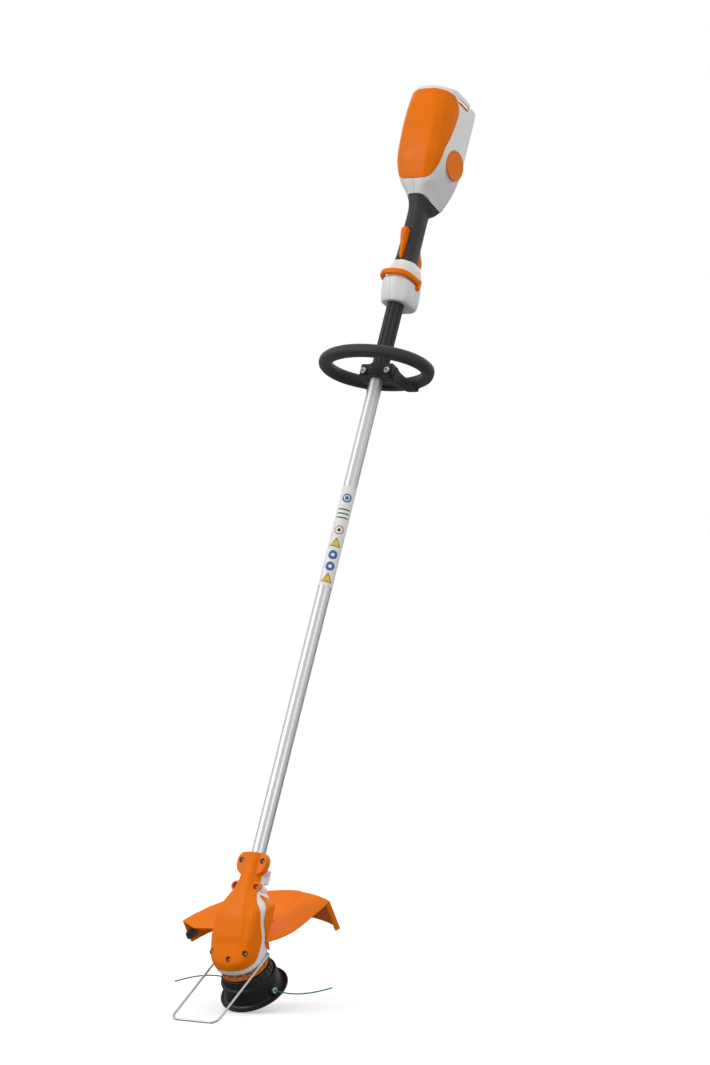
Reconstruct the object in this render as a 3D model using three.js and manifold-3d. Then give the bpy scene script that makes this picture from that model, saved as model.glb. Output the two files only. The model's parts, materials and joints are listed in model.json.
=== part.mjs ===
// Battery string trimmer: straight tube, loop handle, motor head with line spool and deflector.
// Millimetres, +Z up. X is across the tool, -Y is its front, +Y is the side of the user.
// The tool stands as it is set down: on the rim of its spool flange and on the bar of its wire
// guard, with the tube leaning back. Two frames carry the pieces:
//   shaft frame: z runs up the tube, y runs to the user's side, x across;
//   head frame:  z runs up the spool's axis, y runs to the user's side, x across.
import * as THREE from "three";
import { mergeVertices } from "three/addons/utils/BufferGeometryUtils.js";
import { ConvexGeometry } from "three/addons/geometries/ConvexGeometry.js";
import Module from "manifold-3d";

const wasm = await Module();
wasm.setup();

// ---------------------------------------------------------------- driving dimensions
const GAP = 0.3; // clearance between pieces that touch
const WALL = 2.5; // moulded shells
const SHAFT_LEAN = 24; // degrees, tube against the vertical
const HEAD_TILT = 33; // degrees, spool axis against the vertical
const HEAD_SETBACK = 85; // shaft axis to the centre of the flange, across the shaft

const TUBE_R = 12.5;
const TUBE_WALL = 1.5;
const TUBE_LOW = 125; // lower end, inside the neck
const TUBE_HIGH = 1345; // upper end, inside the collar; what stands above is placed from here
const CABLE_R = 3;
const LABEL_LOW = 715;
const LABEL_LENGTH = 193;

const CAP_R = 45; // the spool's cap and the foot of the head above it
const CAP_TOP = 50;
const DRUM_R = CAP_R + 5;
const DRUM_TOP = 30;
const FLANGE_R = DRUM_R + 11;
const FLANGE_T = 4;
const VENT_LOW = 52;
const VENT_TOP = 68;
const VENT_R = CAP_R - 3;
const VENT_WALL = 2.5;
const BAND_TOP = 79; // lower edge of the front cover
const MOTOR_R = VENT_R - 13;
const AXLE_R = 4;
const KNOB_R = 23;
const KNOB_TRAVEL = 6;
const KNOB_DROP = 13; // how far the bump knob stands out of the flange
const EYELET_TURN = 79; // degrees from the front to the first eyelet, towards +X
const EYELET_H = 12;
const LINE_R = 1.2;

const DEFLECTOR_R = 190;
const DEFLECTOR_RIM = 68; // height of the rim above the flange at its right end
const DEFLECTOR_RISE = 8; // how much higher the rim is at its left end
const DEFLECTOR_T = 3;
const COWL_GAP = 0.6; // between the deflector's cowl and the rear shell

const WIRE_R = 2;
const GUARD_X = CAP_R + 2.7; // half distance between the legs
const GUARD_FRONT = 165.5;
const GUARD_PIVOT_F = -18;
const GUARD_PIVOT_H = 69.7;

const LOOP_Z = TUBE_HIGH - 201.5;
const LOOP_A = 101; // half width of the loop at the middle of its bar
const LOOP_B = 71; // half depth
const LOOP_FORWARD = 10; // centre of the loop in front of the tube
const LOOP_BAR = 12.5; // half thickness of the grip bar
const CLAMP_LOW = LOOP_Z - 20.5;
const CLAMP_HIGH = CLAMP_LOW + 28;
const CLAMP_MID = (CLAMP_LOW + CLAMP_HIGH) / 2;
const CLAMP_X = TUBE_R + 13; // screws
const CLAMP_WING = CLAMP_X + 8.5;
const CLAMP_FRONT = TUBE_R + 4.5;
const SCREW_R = 3;
const NUT_R = 6;

const SLEEVE_LOW = CLAMP_HIGH + 5;
const SLEEVE_HIGH = TUBE_HIGH - 53;
const SLEEVE_R = TUBE_R + 3;
const GROOVES = 8;
const GROOVE_DEPTH = 1.4;

const COLLAR_LOW = TUBE_HIGH - 69;
const COLLAR_STEP = TUBE_HIGH - 28; // the collar narrows here, to leave room for the bail
const COLLAR_HIGH = TUBE_HIGH + 12;
const BAIL_Z = TUBE_HIGH - 20;
const BAIL_X = 30; // half distance between the sides of the bow
const BAIL_REACH = 40; // the bow's front, in front of the tube
const BAIL_TALL = 5.5; // half height of the bow's bar
const BAIL_THICK = 4; // half thickness
const BAIL_PIN_R = 3;
const BAIL_PIVOT_Y = 12;
const BAIL_PIVOT_Z = TUBE_HIGH - 30;

const HANDLE_HIGH = TUBE_HIGH + 141; // where the grip meets the battery housing
const HOUSING_HIGH = TUBE_HIGH + 350;
const HOUSING_FRONT = 68;
const HOUSING_REAR = 46;
const HOUSING_WALL = 3;
const BATTERY_X = 38;
const BATTERY_FRONT = 42;
const BATTERY_REAR = 40;
const BATTERY_LOW = TUBE_HIGH + 215;
const HOUSING_W = BATTERY_X + 12; // room for the latch beside the battery
const BADGE_R = 28;
const BADGE_Y = 6;
const BADGE_Z = TUBE_HIGH + 219;

// ---------------------------------------------------------------- shape helpers
const rad = THREE.MathUtils.degToRad;
const moved = (x, y, z) => new THREE.Matrix4().makeTranslation(x, y, z);

// A closed three.js geometry as a solid, with its faces turned outwards.
function solid(geometry, matrix) {
  const flat = geometry.index ? geometry.toNonIndexed() : geometry.clone();
  const bare = new THREE.BufferGeometry().setAttribute("position", flat.getAttribute("position"));
  if (matrix) {
    bare.applyMatrix4(matrix);
  }
  const merged = mergeVertices(bare, 1e-3);
  const ids = merged.index.array;
  const faces = [];
  for (let i = 0; i < ids.length; i += 3) {
    const [a, b, c] = [ids[i], ids[i + 1], ids[i + 2]];
    if (a !== b && b !== c && c !== a) {
      faces.push([a, b, c]);
    }
  }
  const vertProperties = new Float32Array(merged.attributes.position.array);
  const make = (list) =>
    new wasm.Manifold(new wasm.Mesh({ numProp: 3, vertProperties, triVerts: new Uint32Array(list.flat()) }));
  const first = make(faces);
  return first.volume() > 0 ? first : make(faces.map(([a, b, c]) => [a, c, b]));
}

function box(x0, x1, y0, y1, z0, z1) {
  const geometry = new THREE.BoxGeometry(x1 - x0, y1 - y0, z1 - z0);
  return solid(geometry, moved((x0 + x1) / 2, (y0 + y1) / 2, (z0 + z1) / 2));
}

function rod(radius, z0, z1, sides = 20) {
  const geometry = new THREE.CylinderGeometry(radius, radius, z1 - z0, sides).rotateX(Math.PI / 2);
  return solid(geometry, moved(0, 0, (z0 + z1) / 2));
}

// A cylinder from one point to another.
function pin(radius, from, to, sides = 8) {
  const [a, b] = [new THREE.Vector3(...from), new THREE.Vector3(...to)];
  const along = b.clone().sub(a);
  const turn = new THREE.Quaternion().setFromUnitVectors(
    new THREE.Vector3(0, 1, 0),
    along.clone().normalize(),
  );
  const place = new THREE.Matrix4().makeRotationFromQuaternion(turn);
  place.setPosition(a.add(b).multiplyScalar(0.5));
  return solid(new THREE.CylinderGeometry(radius, radius, along.length(), sides), place);
}

// A turned part: [radius, height] points that close on themselves or end on the axis.
function turned(profile, sides = 24) {
  const points = profile.map(([r, z]) => new THREE.Vector2(r, z));
  return solid(new THREE.LatheGeometry(points, sides).rotateX(Math.PI / 2));
}

function ring(inner, outer, z0, z1, sides = 24) {
  return turned([[inner, z0], [outer, z0], [outer, z1], [inner, z1], [inner, z0]], sides);
}

// A plate with a [y, z] outline, from x0 to x1.
function slab(outline, x0, x1) {
  const shape = new THREE.Shape(outline.map(([y, z]) => new THREE.Vector2(y, z)));
  const geometry = new THREE.ExtrudeGeometry(shape, { depth: x1 - x0, bevelEnabled: false });
  const axes = new THREE.Matrix4().makeBasis(
    new THREE.Vector3(0, 1, 0),
    new THREE.Vector3(0, 0, 1),
    new THREE.Vector3(1, 0, 0),
  );
  return solid(geometry, axes.setPosition(x0, 0, 0));
}

const hull = (points) => solid(new ConvexGeometry(points.map((p) => new THREE.Vector3(...p))));

// A round section carried along a curve.
function swept(curve, radiusX, radiusY, sides, steps) {
  const outline = [];
  for (let i = 0; i < sides; i += 1) {
    const turn = (2 * Math.PI * i) / sides;
    outline.push(new THREE.Vector2(radiusX * Math.cos(turn), radiusY * Math.sin(turn)));
  }
  const shape = new THREE.Shape(outline);
  return solid(new THREE.ExtrudeGeometry(shape, { steps, extrudePath: curve }));
}

// A bar whose middle line lies in a plane z = const and runs through the given [x, y] spots.
function bentBar(spots, z, radiusAcross, radiusUp, sides) {
  const rows = spots.length - 1;
  const geometry = new THREE.CylinderGeometry(1, 1, rows, sides, rows);
  const place = geometry.getAttribute("position");
  const points = spots.map(([x, y]) => new THREE.Vector2(x, y));
  const heading = (i) => {
    const [a, b] = [points[Math.max(i, 0)], points[Math.min(i + 1, rows)]];
    return b.clone().sub(a).normalize();
  };
  for (let i = 0; i < place.count; i += 1) {
    const row = Math.round(rows / 2 - place.getY(i));
    const before = heading(Math.max(row - 1, 0));
    const after = heading(Math.min(row, rows - 1));
    const along = before.clone().add(after).normalize();
    const mitre = 1 / Math.max(along.dot(after), 0.5);
    const out = place.getX(i) * radiusAcross * mitre;
    const { x, y } = points[row];
    place.setXYZ(i, x - along.y * out, y + along.x * out, z + place.getZ(i) * radiusUp);
  }
  return solid(geometry);
}

// Spots along a quarter turn from a to c with the corner at b, without its last point.
function corner(a, b, c, count) {
  const curve = new THREE.QuadraticBezierCurve(
    new THREE.Vector2(...a),
    new THREE.Vector2(...b),
    new THREE.Vector2(...c),
  );
  return curve.getPoints(count).map((p) => [p.x, p.y]);
}

// A power that keeps its sign, with the small errors of sines and cosines taken as nothing.
const signedPower = (value, power) =>
  Math.abs(value) < 1e-9 ? 0 : Math.sign(value) * Math.abs(value) ** power;

// A lofted body. Each section is [frontY, frontZ, rearY, rearZ, halfWidth]: its front and rear
// points on the middle plane and its half width across. power squares the section's corners,
// unless a section ends with a power of its own.
function loft(sections, power = 2.4, sides = 20) {
  const rows = sections.length - 1;
  const geometry = new THREE.CylinderGeometry(1, 1, rows, sides, rows);
  const place = geometry.getAttribute("position");
  for (let i = 0; i < place.count; i += 1) {
    const [frontY, frontZ, rearY, rearZ, width, own = power] = sections[Math.round(rows / 2 - place.getY(i))];
    const across = signedPower(place.getX(i), 2 / own);
    const ahead = signedPower(place.getZ(i), 2 / own);
    const y = (frontY + rearY) / 2 + ((frontY - rearY) / 2) * ahead;
    const z = (frontZ + rearZ) / 2 + ((frontZ - rearZ) / 2) * ahead;
    place.setXYZ(i, width * across, y, z);
  }
  return solid(geometry);
}

// The same sections with every side moved inwards (or outwards, below zero).
const inset = (sections, wall) =>
  sections.map(([frontY, frontZ, rearY, rearZ, width, ...own]) => {
    const span = Math.hypot(frontY - rearY, frontZ - rearZ);
    const [dy, dz] = [((frontY - rearY) / span) * wall, ((frontZ - rearZ) / span) * wall];
    return [frontY - dy, frontZ - dz, rearY + dy, rearZ + dz, width - wall, ...own];
  });

const level = (z, front, rear, width) => [-front, z, rear, z, width];

// ---------------------------------------------------------------- materials
const finish = (color, roughness, metalness = 0) => () =>
  new THREE.MeshStandardMaterial({ color, roughness, metalness });
const ORANGE = finish(0xee7203, 0.35);
const WHITE = finish(0xe9e9e7, 0.4);
const BLACK = finish(0x222324, 0.55);
const SOFT = finish(0x2b2c2d, 0.75);
const ALLOY = finish(0xc4c7c9, 0.35, 0.9);
const STEEL = finish(0xb9bbbc, 0.3, 1);
const COPPER = finish(0xb36b3c, 0.4, 0.9);
const GREEN = finish(0x2c8f6d, 0.5);
const LABEL = finish(0xf2f2ee, 0.5);

const model = new THREE.Group();
const shaftFrame = new THREE.Group();
const headFrame = new THREE.Group();
model.add(shaftFrame, headFrame);

function piece(frame, name, body, material) {
  const { vertProperties, triVerts } = body.getMesh();
  const geometry = new THREE.BufferGeometry();
  geometry.setAttribute("position", new THREE.BufferAttribute(new Float32Array(vertProperties), 3));
  geometry.setIndex(new THREE.BufferAttribute(new Uint32Array(triVerts), 1));
  geometry.computeVertexNormals();
  const mesh = new THREE.Mesh(geometry, material());
  mesh.name = name;
  frame.add(mesh);
  return mesh;
}

// Where a point of the head frame, (front f, height h), lies in the shaft frame.
const between = rad(SHAFT_LEAN + HEAD_TILT);
const headToShaft = (f, h) => [
  -(f * Math.cos(between) + h * Math.sin(between) - HEAD_SETBACK),
  h * Math.cos(between) - f * Math.sin(between),
];
const toShaft = new THREE.Matrix4()
  .makeTranslation(0, HEAD_SETBACK, 0)
  .multiply(new THREE.Matrix4().makeRotationX(between));
const toHead = toShaft.clone().invert();
const inHead = (body) => body.transform(toHead.toArray());

// ---------------------------------------------------------------- line spool
const EYELET_SIDES = [1, -1];
const eyeletPlace = (side, radius, h = EYELET_H) => {
  const turn = rad(EYELET_TURN);
  return [side * radius * Math.sin(turn), -side * radius * Math.cos(turn), h];
};

function spoolBase() {
  const wall = 3;
  const bore = KNOB_R + 1;
  let body = turned([
    [bore, 0], [FLANGE_R - 2, 0], [FLANGE_R, 1.5], [FLANGE_R, FLANGE_T], [DRUM_R + 2, FLANGE_T + 1],
    [DRUM_R, FLANGE_T + 4], [DRUM_R, DRUM_TOP], [DRUM_R - wall, DRUM_TOP], [DRUM_R - wall, FLANGE_T],
    [bore, FLANGE_T], [bore, 0],
  ]);
  for (const side of EYELET_SIDES) {
    const boss = pin(8, eyeletPlace(side, DRUM_R - wall - 0.5), eyeletPlace(side, DRUM_R + 3), 12);
    body = body.add(boss);
    body = body.subtract(pin(4 + GAP, eyeletPlace(side, DRUM_R - 10), eyeletPlace(side, DRUM_R + 20), 8));
  }
  return body;
}

function spoolCap() {
  const low = DRUM_TOP + GAP;
  return turned([
    [AXLE_R + GAP, low], [DRUM_R, low], [DRUM_R, low + 4], [CAP_R, low + 6], [CAP_R - 1, CAP_TOP - 3],
    [CAP_R - 4, CAP_TOP], [AXLE_R + GAP, CAP_TOP], [AXLE_R + GAP, low],
  ]);
}

const eyelet = (side) =>
  pin(4, eyeletPlace(side, DRUM_R - 5), eyeletPlace(side, DRUM_R + 4), 12).subtract(
    pin(LINE_R + 0.5, eyeletPlace(side, DRUM_R - 20), eyeletPlace(side, DRUM_R + 20), 10),
  );

const REEL_LOW = FLANGE_T + 1.5;
const REEL_TOP = DRUM_TOP - 1;
const REEL_R = DRUM_R - 8;
const REEL_HUB_R = 20;
const REEL_BORE = 14;
const REEL_WALL = 1.5;
const lineReel = () =>
  turned([
    [REEL_BORE, REEL_LOW], [REEL_R, REEL_LOW], [REEL_R, REEL_LOW + REEL_WALL],
    [REEL_HUB_R, REEL_LOW + REEL_WALL], [REEL_HUB_R, REEL_TOP - REEL_WALL], [REEL_R, REEL_TOP - REEL_WALL],
    [REEL_R, REEL_TOP], [REEL_BORE, REEL_TOP], [REEL_BORE, REEL_LOW],
  ]);
const lineCoil = () =>
  ring(REEL_HUB_R + GAP, REEL_R - 4, REEL_LOW + REEL_WALL + GAP, REEL_TOP - REEL_WALL - GAP);

// A cup whose face is knocked on the ground to feed line, with its stem inside the spring.
function bumpKnob() {
  const stem = 6;
  const inside = REEL_TOP - KNOB_TRAVEL - 2;
  return turned([
    [0, -KNOB_DROP], [KNOB_R - 5, -KNOB_DROP], [KNOB_R, -KNOB_DROP + 5], [KNOB_R, REEL_LOW - KNOB_TRAVEL - 1],
    [13, REEL_LOW - KNOB_TRAVEL - 1], [13, -2], [stem, -2], [stem, inside], [0, inside],
  ]);
}
const bumpSpring = () => ring(6.5, 12.5, -2 + GAP, REEL_TOP - 4, 20);

// The free end of the line at the +X eyelet, [x, y] in the eyelets' plane. The other is its
// half turn.
const LINE_POINTS = [
  [53.3, -10.36], [60.8, -11.7], [68.5, -12.8], [76.2, -13.5], [84, -13.9], [91.8, -13.8], [99.5, -13.2],
  [107.3, -12.1], [115, -10.4], [122.7, -8.2], [130.3, -5.4], [137.9, -2.1], [145.4, 1.7], [152.9, 5.9],
  [160.4, 10.6],
];
function cuttingLine(side) {
  const points = LINE_POINTS.map(([x, y]) => new THREE.Vector3(side * x, side * y, EYELET_H));
  return swept(new THREE.CatmullRomCurve3(points), LINE_R, LINE_R, 8, 28);
}

// ---------------------------------------------------------------- motor
const ROTOR_LOW = 70;
const ROTOR_HIGH = 92;
const ROTOR_R = MOTOR_R - 12;
const STATOR_LOW = 66;
const STATOR_HIGH = 96;
const BEARING_R = 11;
const BEARING_H = 7;
const BELL_LOW = 55;
const motorShaft = () => rod(AXLE_R, REEL_TOP + 0.5, STATOR_HIGH + 11, 16);
const motorRotor = () => ring(AXLE_R + GAP, ROTOR_R, ROTOR_LOW, ROTOR_HIGH, 24);
const motorStator = () => ring(ROTOR_R + 1, MOTOR_R, STATOR_LOW, STATOR_HIGH, 30);
const bearing = (low) => ring(AXLE_R + GAP, BEARING_R, low, low + BEARING_H, 20);
const BELL_R = VENT_R - VENT_WALL - GAP;
const bellLower = () =>
  turned([
    [BEARING_R + GAP, BELL_LOW], [BELL_R, BELL_LOW], [BELL_R, BELL_LOW + 2],
    [MOTOR_R + 2.5, BELL_LOW + 2], [MOTOR_R + 2.5, STATOR_LOW + 8], [MOTOR_R + GAP, STATOR_LOW + 8],
    [MOTOR_R + GAP, STATOR_LOW - GAP], [BEARING_R + 3, STATOR_LOW - GAP], [BEARING_R + GAP, STATOR_LOW - GAP],
    [BEARING_R + GAP, BELL_LOW],
  ], 24);
const bellUpper = () =>
  turned([
    [ROTOR_R + 3, STATOR_HIGH + GAP], [MOTOR_R - 2, STATOR_HIGH + GAP], [MOTOR_R - 2, STATOR_HIGH + 2.5],
    [BEARING_R + 2.5, STATOR_HIGH + 2.5], [BEARING_R + 2.5, STATOR_HIGH + 10],
    [BEARING_R + GAP, STATOR_HIGH + 10], [BEARING_R + GAP, STATOR_HIGH + GAP],
    [ROTOR_R + 3, STATOR_HIGH + GAP],
  ], 24);

const VENT_SLOTS = 12;
function ventRing() {
  let body = ring(VENT_R - VENT_WALL, VENT_R, VENT_LOW, VENT_TOP - GAP);
  for (let i = 0; i < VENT_SLOTS; i += 1) {
    const slot = box(-6, 6, VENT_R - 8, VENT_R + 4, VENT_LOW + 5, VENT_TOP - 4);
    body = body.subtract(slot.rotate([0, 0, (360 * i) / VENT_SLOTS]));
  }
  return body;
}

// ---------------------------------------------------------------- head housing (shaft frame)
const NECK_TOP = 215;
const NECK_W = TUBE_R + 6.5;
const REAR_NECK_TOP = 190;
const [baseFrontY, baseFrontZ] = headToShaft(CAP_R - 1, VENT_TOP);
const [baseRearY, baseRearZ] = headToShaft(-CAP_R + 1, VENT_TOP);
const [bandFrontY, bandFrontZ] = headToShaft(CAP_R + 0.3, BAND_TOP);
const [bandRearY, bandRearZ] = headToShaft(-CAP_R - 4, BAND_TOP);
const HEAD_SECTIONS = [
  [baseFrontY, baseFrontZ, baseRearY, baseRearZ, CAP_R - 1],
  [bandFrontY, bandFrontZ, bandRearY, bandRearZ, CAP_R],
  [-17, 16, 38, 92, CAP_R + 0.3, 2.8],
  [-21, 40, 33, 105, CAP_R, 3.6],
  [-24, 70, 30, 122, CAP_R, 4.5],
  [-26, 100, 27, 138, CAP_R - 1, 4.5],
  [-23, 130, 25, 150, 33, 3.5],
  [-21, 150, 24, 162, 24, 2.6],
  [-19, 170, 23, 172, NECK_W + 1],
  [-18, REAR_NECK_TOP, 22, REAR_NECK_TOP, NECK_W],
  [-18, NECK_TOP, 22, NECK_TOP, NECK_W],
];
const HEAD_SCREW_R = 4.5;
const SINK = 3; // depth of the neck screws' heads
const GUARD_PIVOT = [-GUARD_PIVOT_F, GUARD_PIVOT_H]; // [y, z] in the head frame
const COWL_SCREW = { x: 14, z: 118, seat: 32 };
// Screws that clamp the neck: where the boss's two ends lie and how deep the screw goes, along y.
const UPPER_BOSS = { x: TUBE_R + 9.5, z: 201, r: 10, front: -13, rear: 12, end: -2.5 };
const LOWER_BOSS = { x: TUBE_R + 9.5, z: 155, r: 9, front: -13, rear: 12, end: 8 };
const BOSSES = [UPPER_BOSS, LOWER_BOSS];
const COVER_SCREWS = [
  { x: 6, z: 22, seat: -15.5 }, { x: CAP_R - 10, z: 35, seat: -12.5 }, { x: 10 - CAP_R, z: 35, seat: -12.5 },
];
// The plate across the neck at the upper screws, [x, z] on its right side.
const NECK_PLATE = [[17, 182], [27, 186], [30, 194], [30, 205], [24, 213], [12, NECK_TOP]];
const REAR_CLAMP = { x: 25, front: 8, rear: 22, low: 166 }; // the block behind the neck

const HEAD_CAVITY = (() => {
  const rows = inset(HEAD_SECTIONS.slice(0, 7), WALL);
  const [below] = inset([HEAD_SECTIONS[0]], WALL);
  const [dy, dz] = [5 * Math.sin(between), 5 * Math.cos(between)];
  const opened = [below[0] + dy, below[1] - dz, below[2] + dy, below[3] - dz, below[4]];
  return loft([opened, ...rows]).add(rod(TUBE_R + GAP, 100, NECK_TOP + 20));
})();
const HEAD_BODY = (() => {
  let body = loft(HEAD_SECTIONS);
  const plate = [];
  for (const side of [1, -1]) {
    for (const boss of BOSSES) {
      const x = side * boss.x;
      body = body.add(pin(boss.r, [x, boss.front, boss.z], [x, boss.rear, boss.z], 8));
    }
    for (const [x, z] of NECK_PLATE) {
      plate.push([side * x, UPPER_BOSS.front, z], [side * x, UPPER_BOSS.rear, z]);
    }
  }
  const { x, front, rear, low } = REAR_CLAMP;
  body = body.add(hull(plate)).add(box(-x, x, front, rear, low, REAR_NECK_TOP));
  return body.subtract(HEAD_CAVITY);
})();

// The line in the middle plane where the front cover meets the rear shell, [y, z].
const SEAM = [
  headToShaft(90, BAND_TOP), headToShaft(8, BAND_TOP), [11, 60], [-5, 93], [-16, 124], [-11, 147], [-2, 165],
  [0, NECK_TOP + 30],
];
const FRONT_SIDE = [...SEAM, [-150, NECK_TOP + 30], [-150, -60]];
const screwHoles = (body) => {
  let cut = body;
  for (const side of [1, -1]) {
    for (const { x, z, front, end } of BOSSES) {
      cut = cut.subtract(pin(2 + GAP, [side * x, front - 10, z], [side * x, end + 1, z], 8));
      cut = cut.subtract(pin(HEAD_SCREW_R + GAP, [side * x, front - 20, z], [side * x, front + SINK, z], 8));
    }
    const [inner, outer] = [side * (CAP_R - 15), side * (CAP_R + 15)];
    const hole = pin(WIRE_R + GAP, [inner, ...GUARD_PIVOT], [outer, ...GUARD_PIVOT], 10);
    cut = cut.subtract(hole.transform(toShaft.toArray()));
  }
  return cut;
};

function headCover() {
  let body = HEAD_BODY.intersect(slab(FRONT_SIDE.map(([y, z]) => [y - GAP, z]), -100, 100));
  for (const { x, z, seat } of COVER_SCREWS) {
    body = body.add(pin(6, [x, seat - 1, z], [x, seat + 3, z], 8));
    body = body.subtract(pin(2 + GAP, [x, seat - 30, z], [x, seat + 12, z], 8));
    body = body.subtract(pin(HEAD_SCREW_R + GAP, [x, seat - 40, z], [x, seat, z], 8));
  }
  return screwHoles(body);
}

function headShell() {
  let body = HEAD_BODY.subtract(slab(FRONT_SIDE, -100, 100));
  body = body.subtract(box(-100, 100, -60, 60, REAR_NECK_TOP, NECK_TOP + 20));
  for (const side of [1, -1]) {
    const boss = pin(5, [side * (CAP_R - 9), ...GUARD_PIVOT], [side * (CAP_R - 2.5), ...GUARD_PIVOT]);
    const trimmed = boss.subtract(box(-100, 100, -100, 100, 0, VENT_TOP));
    body = body.add(trimmed.transform(toShaft.toArray()));
  }
  for (const side of [1, -1]) {
    const { x, z } = COWL_SCREW;
    body = body.subtract(pin(2 + GAP, [side * x, 15, z], [side * x, 60, z], 8));
  }
  return screwHoles(body);
}

// A screw whose head bears at y = seat and whose shank ends at y = end.
function screwAlongY(x, z, seat, end, headR = HEAD_SCREW_R, headT = 3, shankR = 2) {
  const into = Math.sign(end - seat);
  const head = pin(headR, [x, seat - into * headT, z], [x, seat, z], 8);
  return head.add(pin(shankR, [x, seat - into, z], [x, end, z], 6));
}

// ---------------------------------------------------------------- deflector (head frame)
const DEFLECTOR_LEFT = -66; // degrees from the user's side, towards -X
const DEFLECTOR_RIGHT = 26;
const DEFLECTOR_ROOT_R = 40;
const DEFLECTOR_ROOT_H = 96;
// One bent sheet: u runs round the spool, v runs out along the top and down the skirt.
function deflectorSheet() {
  const [around, out] = [16, 5];
  const geometry = new THREE.BoxGeometry(1, 1, 1, around, out, 1);
  const place = geometry.getAttribute("position");
  for (let i = 0; i < place.count; i += 1) {
    const u = place.getX(i) + 0.5;
    const v = (place.getY(i) + 0.5) * out;
    const inner = place.getZ(i) < 0;
    const onTop = Math.min(v, out - 1) / (out - 1);
    const skirt = Math.max(v - out + 1, 0);
    const right = DEFLECTOR_RIGHT + 45 * (1 - onTop) ** 2;
    const turn = rad(DEFLECTOR_LEFT + u * (right - DEFLECTOR_LEFT));
    const bottom = 28 - 23 * u;
    let radius = DEFLECTOR_ROOT_R + onTop * (DEFLECTOR_R - DEFLECTOR_ROOT_R);
    const rim = DEFLECTOR_RIM + DEFLECTOR_RISE * (1 - u) ** 2;
    let h = DEFLECTOR_ROOT_H + onTop * (rim - DEFLECTOR_ROOT_H) - 8 * Math.sin(Math.PI * onTop);
    h += skirt * (bottom - rim);
    if (inner) {
      radius -= DEFLECTOR_T * Math.max(skirt, onTop === 1 ? 1 : 0);
      h -= skirt > 0 ? 0 : DEFLECTOR_T;
    }
    place.setXYZ(i, radius * Math.sin(turn), radius * Math.cos(turn), h);
  }
  return solid(geometry);
}

// Where the deflector's cowl ends on the rear shell, [y, z] in the shaft frame.
const COWL_EDGE = [[33, 42], [30, 57], [18, 80], [6, 104], [5, 132], [-6, 143]];
const WING_FRONT = 62; // the left wing's straight front edge lies this far behind the spool axis
const KNIFE = { turn: -62, out: 5, back: 22, h: 45, tall: 22, thick: 1.5 };
const KNIFE_FACE = DEFLECTOR_R - DEFLECTOR_T - 0.8; // the knife's outer side
const knifeTurned = (body) => body.rotate([0, 0, -KNIFE.turn]);
const knifeBore = (radius, r0, r1) => pin(radius, [-2, r0, KNIFE.h], [-2, r1, KNIFE.h], 10);
const knifeHole = () => knifeBore(2 + GAP, DEFLECTOR_R - 20, DEFLECTOR_R + 20);
function deflector() {
  const region = slab([...COWL_EDGE, [60, 143], [120, 143], [120, 42]], -100, 100);
  const cowl = loft(inset(HEAD_SECTIONS.slice(0, 8), -COWL_GAP - DEFLECTOR_T)).intersect(region);
  let body = inHead(cowl).add(deflectorSheet());
  body = body.subtract(inHead(loft(inset(HEAD_SECTIONS, -COWL_GAP))));
  body = body.subtract(rod(CAP_R + 2, 0, VENT_TOP + 3, 30));
  body = body.subtract(box(-300, -CAP_R - 5, -100, WING_FRONT, -10, 200));
  for (const side of [1, -1]) {
    const [inner, outer] = [side * (CAP_R - 15), side * (CAP_R + 25)];
    body = body.subtract(pin(11, [inner, ...GUARD_PIVOT], [outer, ...GUARD_PIVOT], 8));
    const { x, z, seat } = COWL_SCREW;
    const hole = pin(2 + GAP, [side * x, 15, z], [side * x, 60, z], 10);
    const sink = pin(HEAD_SCREW_R + GAP, [side * x, seat, z], [side * x, 70, z], 12);
    body = body.subtract(inHead(hole.add(sink)));
  }
  return body.subtract(knifeTurned(knifeHole()));
}
// The knife that trims the line, held against the inside of the skirt at its left end.
function lineKnife() {
  const skirtEnd = rad(KNIFE.turn - DEFLECTOR_LEFT) * DEFLECTOR_R;
  const plate = box(
    -skirtEnd - KNIFE.out, -skirtEnd + KNIFE.back, KNIFE_FACE - KNIFE.thick, KNIFE_FACE,
    KNIFE.h - KNIFE.tall / 2, KNIFE.h + KNIFE.tall / 2,
  );
  return knifeTurned(plate.subtract(knifeHole()));
}
function knifeScrew() {
  const face = KNIFE_FACE - KNIFE.thick - GAP;
  return knifeTurned(knifeBore(2, face - 1, DEFLECTOR_R - 0.5).add(knifeBore(4, face - 2.5, face)));
}

// ---------------------------------------------------------------- wire guard (head frame)
function wireGuard() {
  const bend = 16; // front corners
  const hook = CAP_R - 7; // the ends turn in to here
  const x = GUARD_X;
  const [rear, front] = [-GUARD_PIVOT_F, -GUARD_FRONT];
  const rightHalf = [
    ...corner([x - bend, front], [x, front], [x, front + bend], 4),
    ...corner([x, rear - 4], [x, rear], [x - 4, rear], 2),
    [hook, rear],
  ];
  const leftHalf = rightHalf.map(([px, py]) => [-px, py]).reverse();
  return bentBar([...leftHalf, ...rightHalf], GUARD_PIVOT_H, WIRE_R, WIRE_R, 8);
}

// ---------------------------------------------------------------- tube and loop handle
const shaftTube = () => ring(TUBE_R - TUBE_WALL, TUBE_R, TUBE_LOW, TUBE_HIGH, 24);
const tubeLabel = () => ring(TUBE_R + GAP, TUBE_R + 0.6, LABEL_LOW, LABEL_LOW + LABEL_LENGTH, 24);

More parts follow.
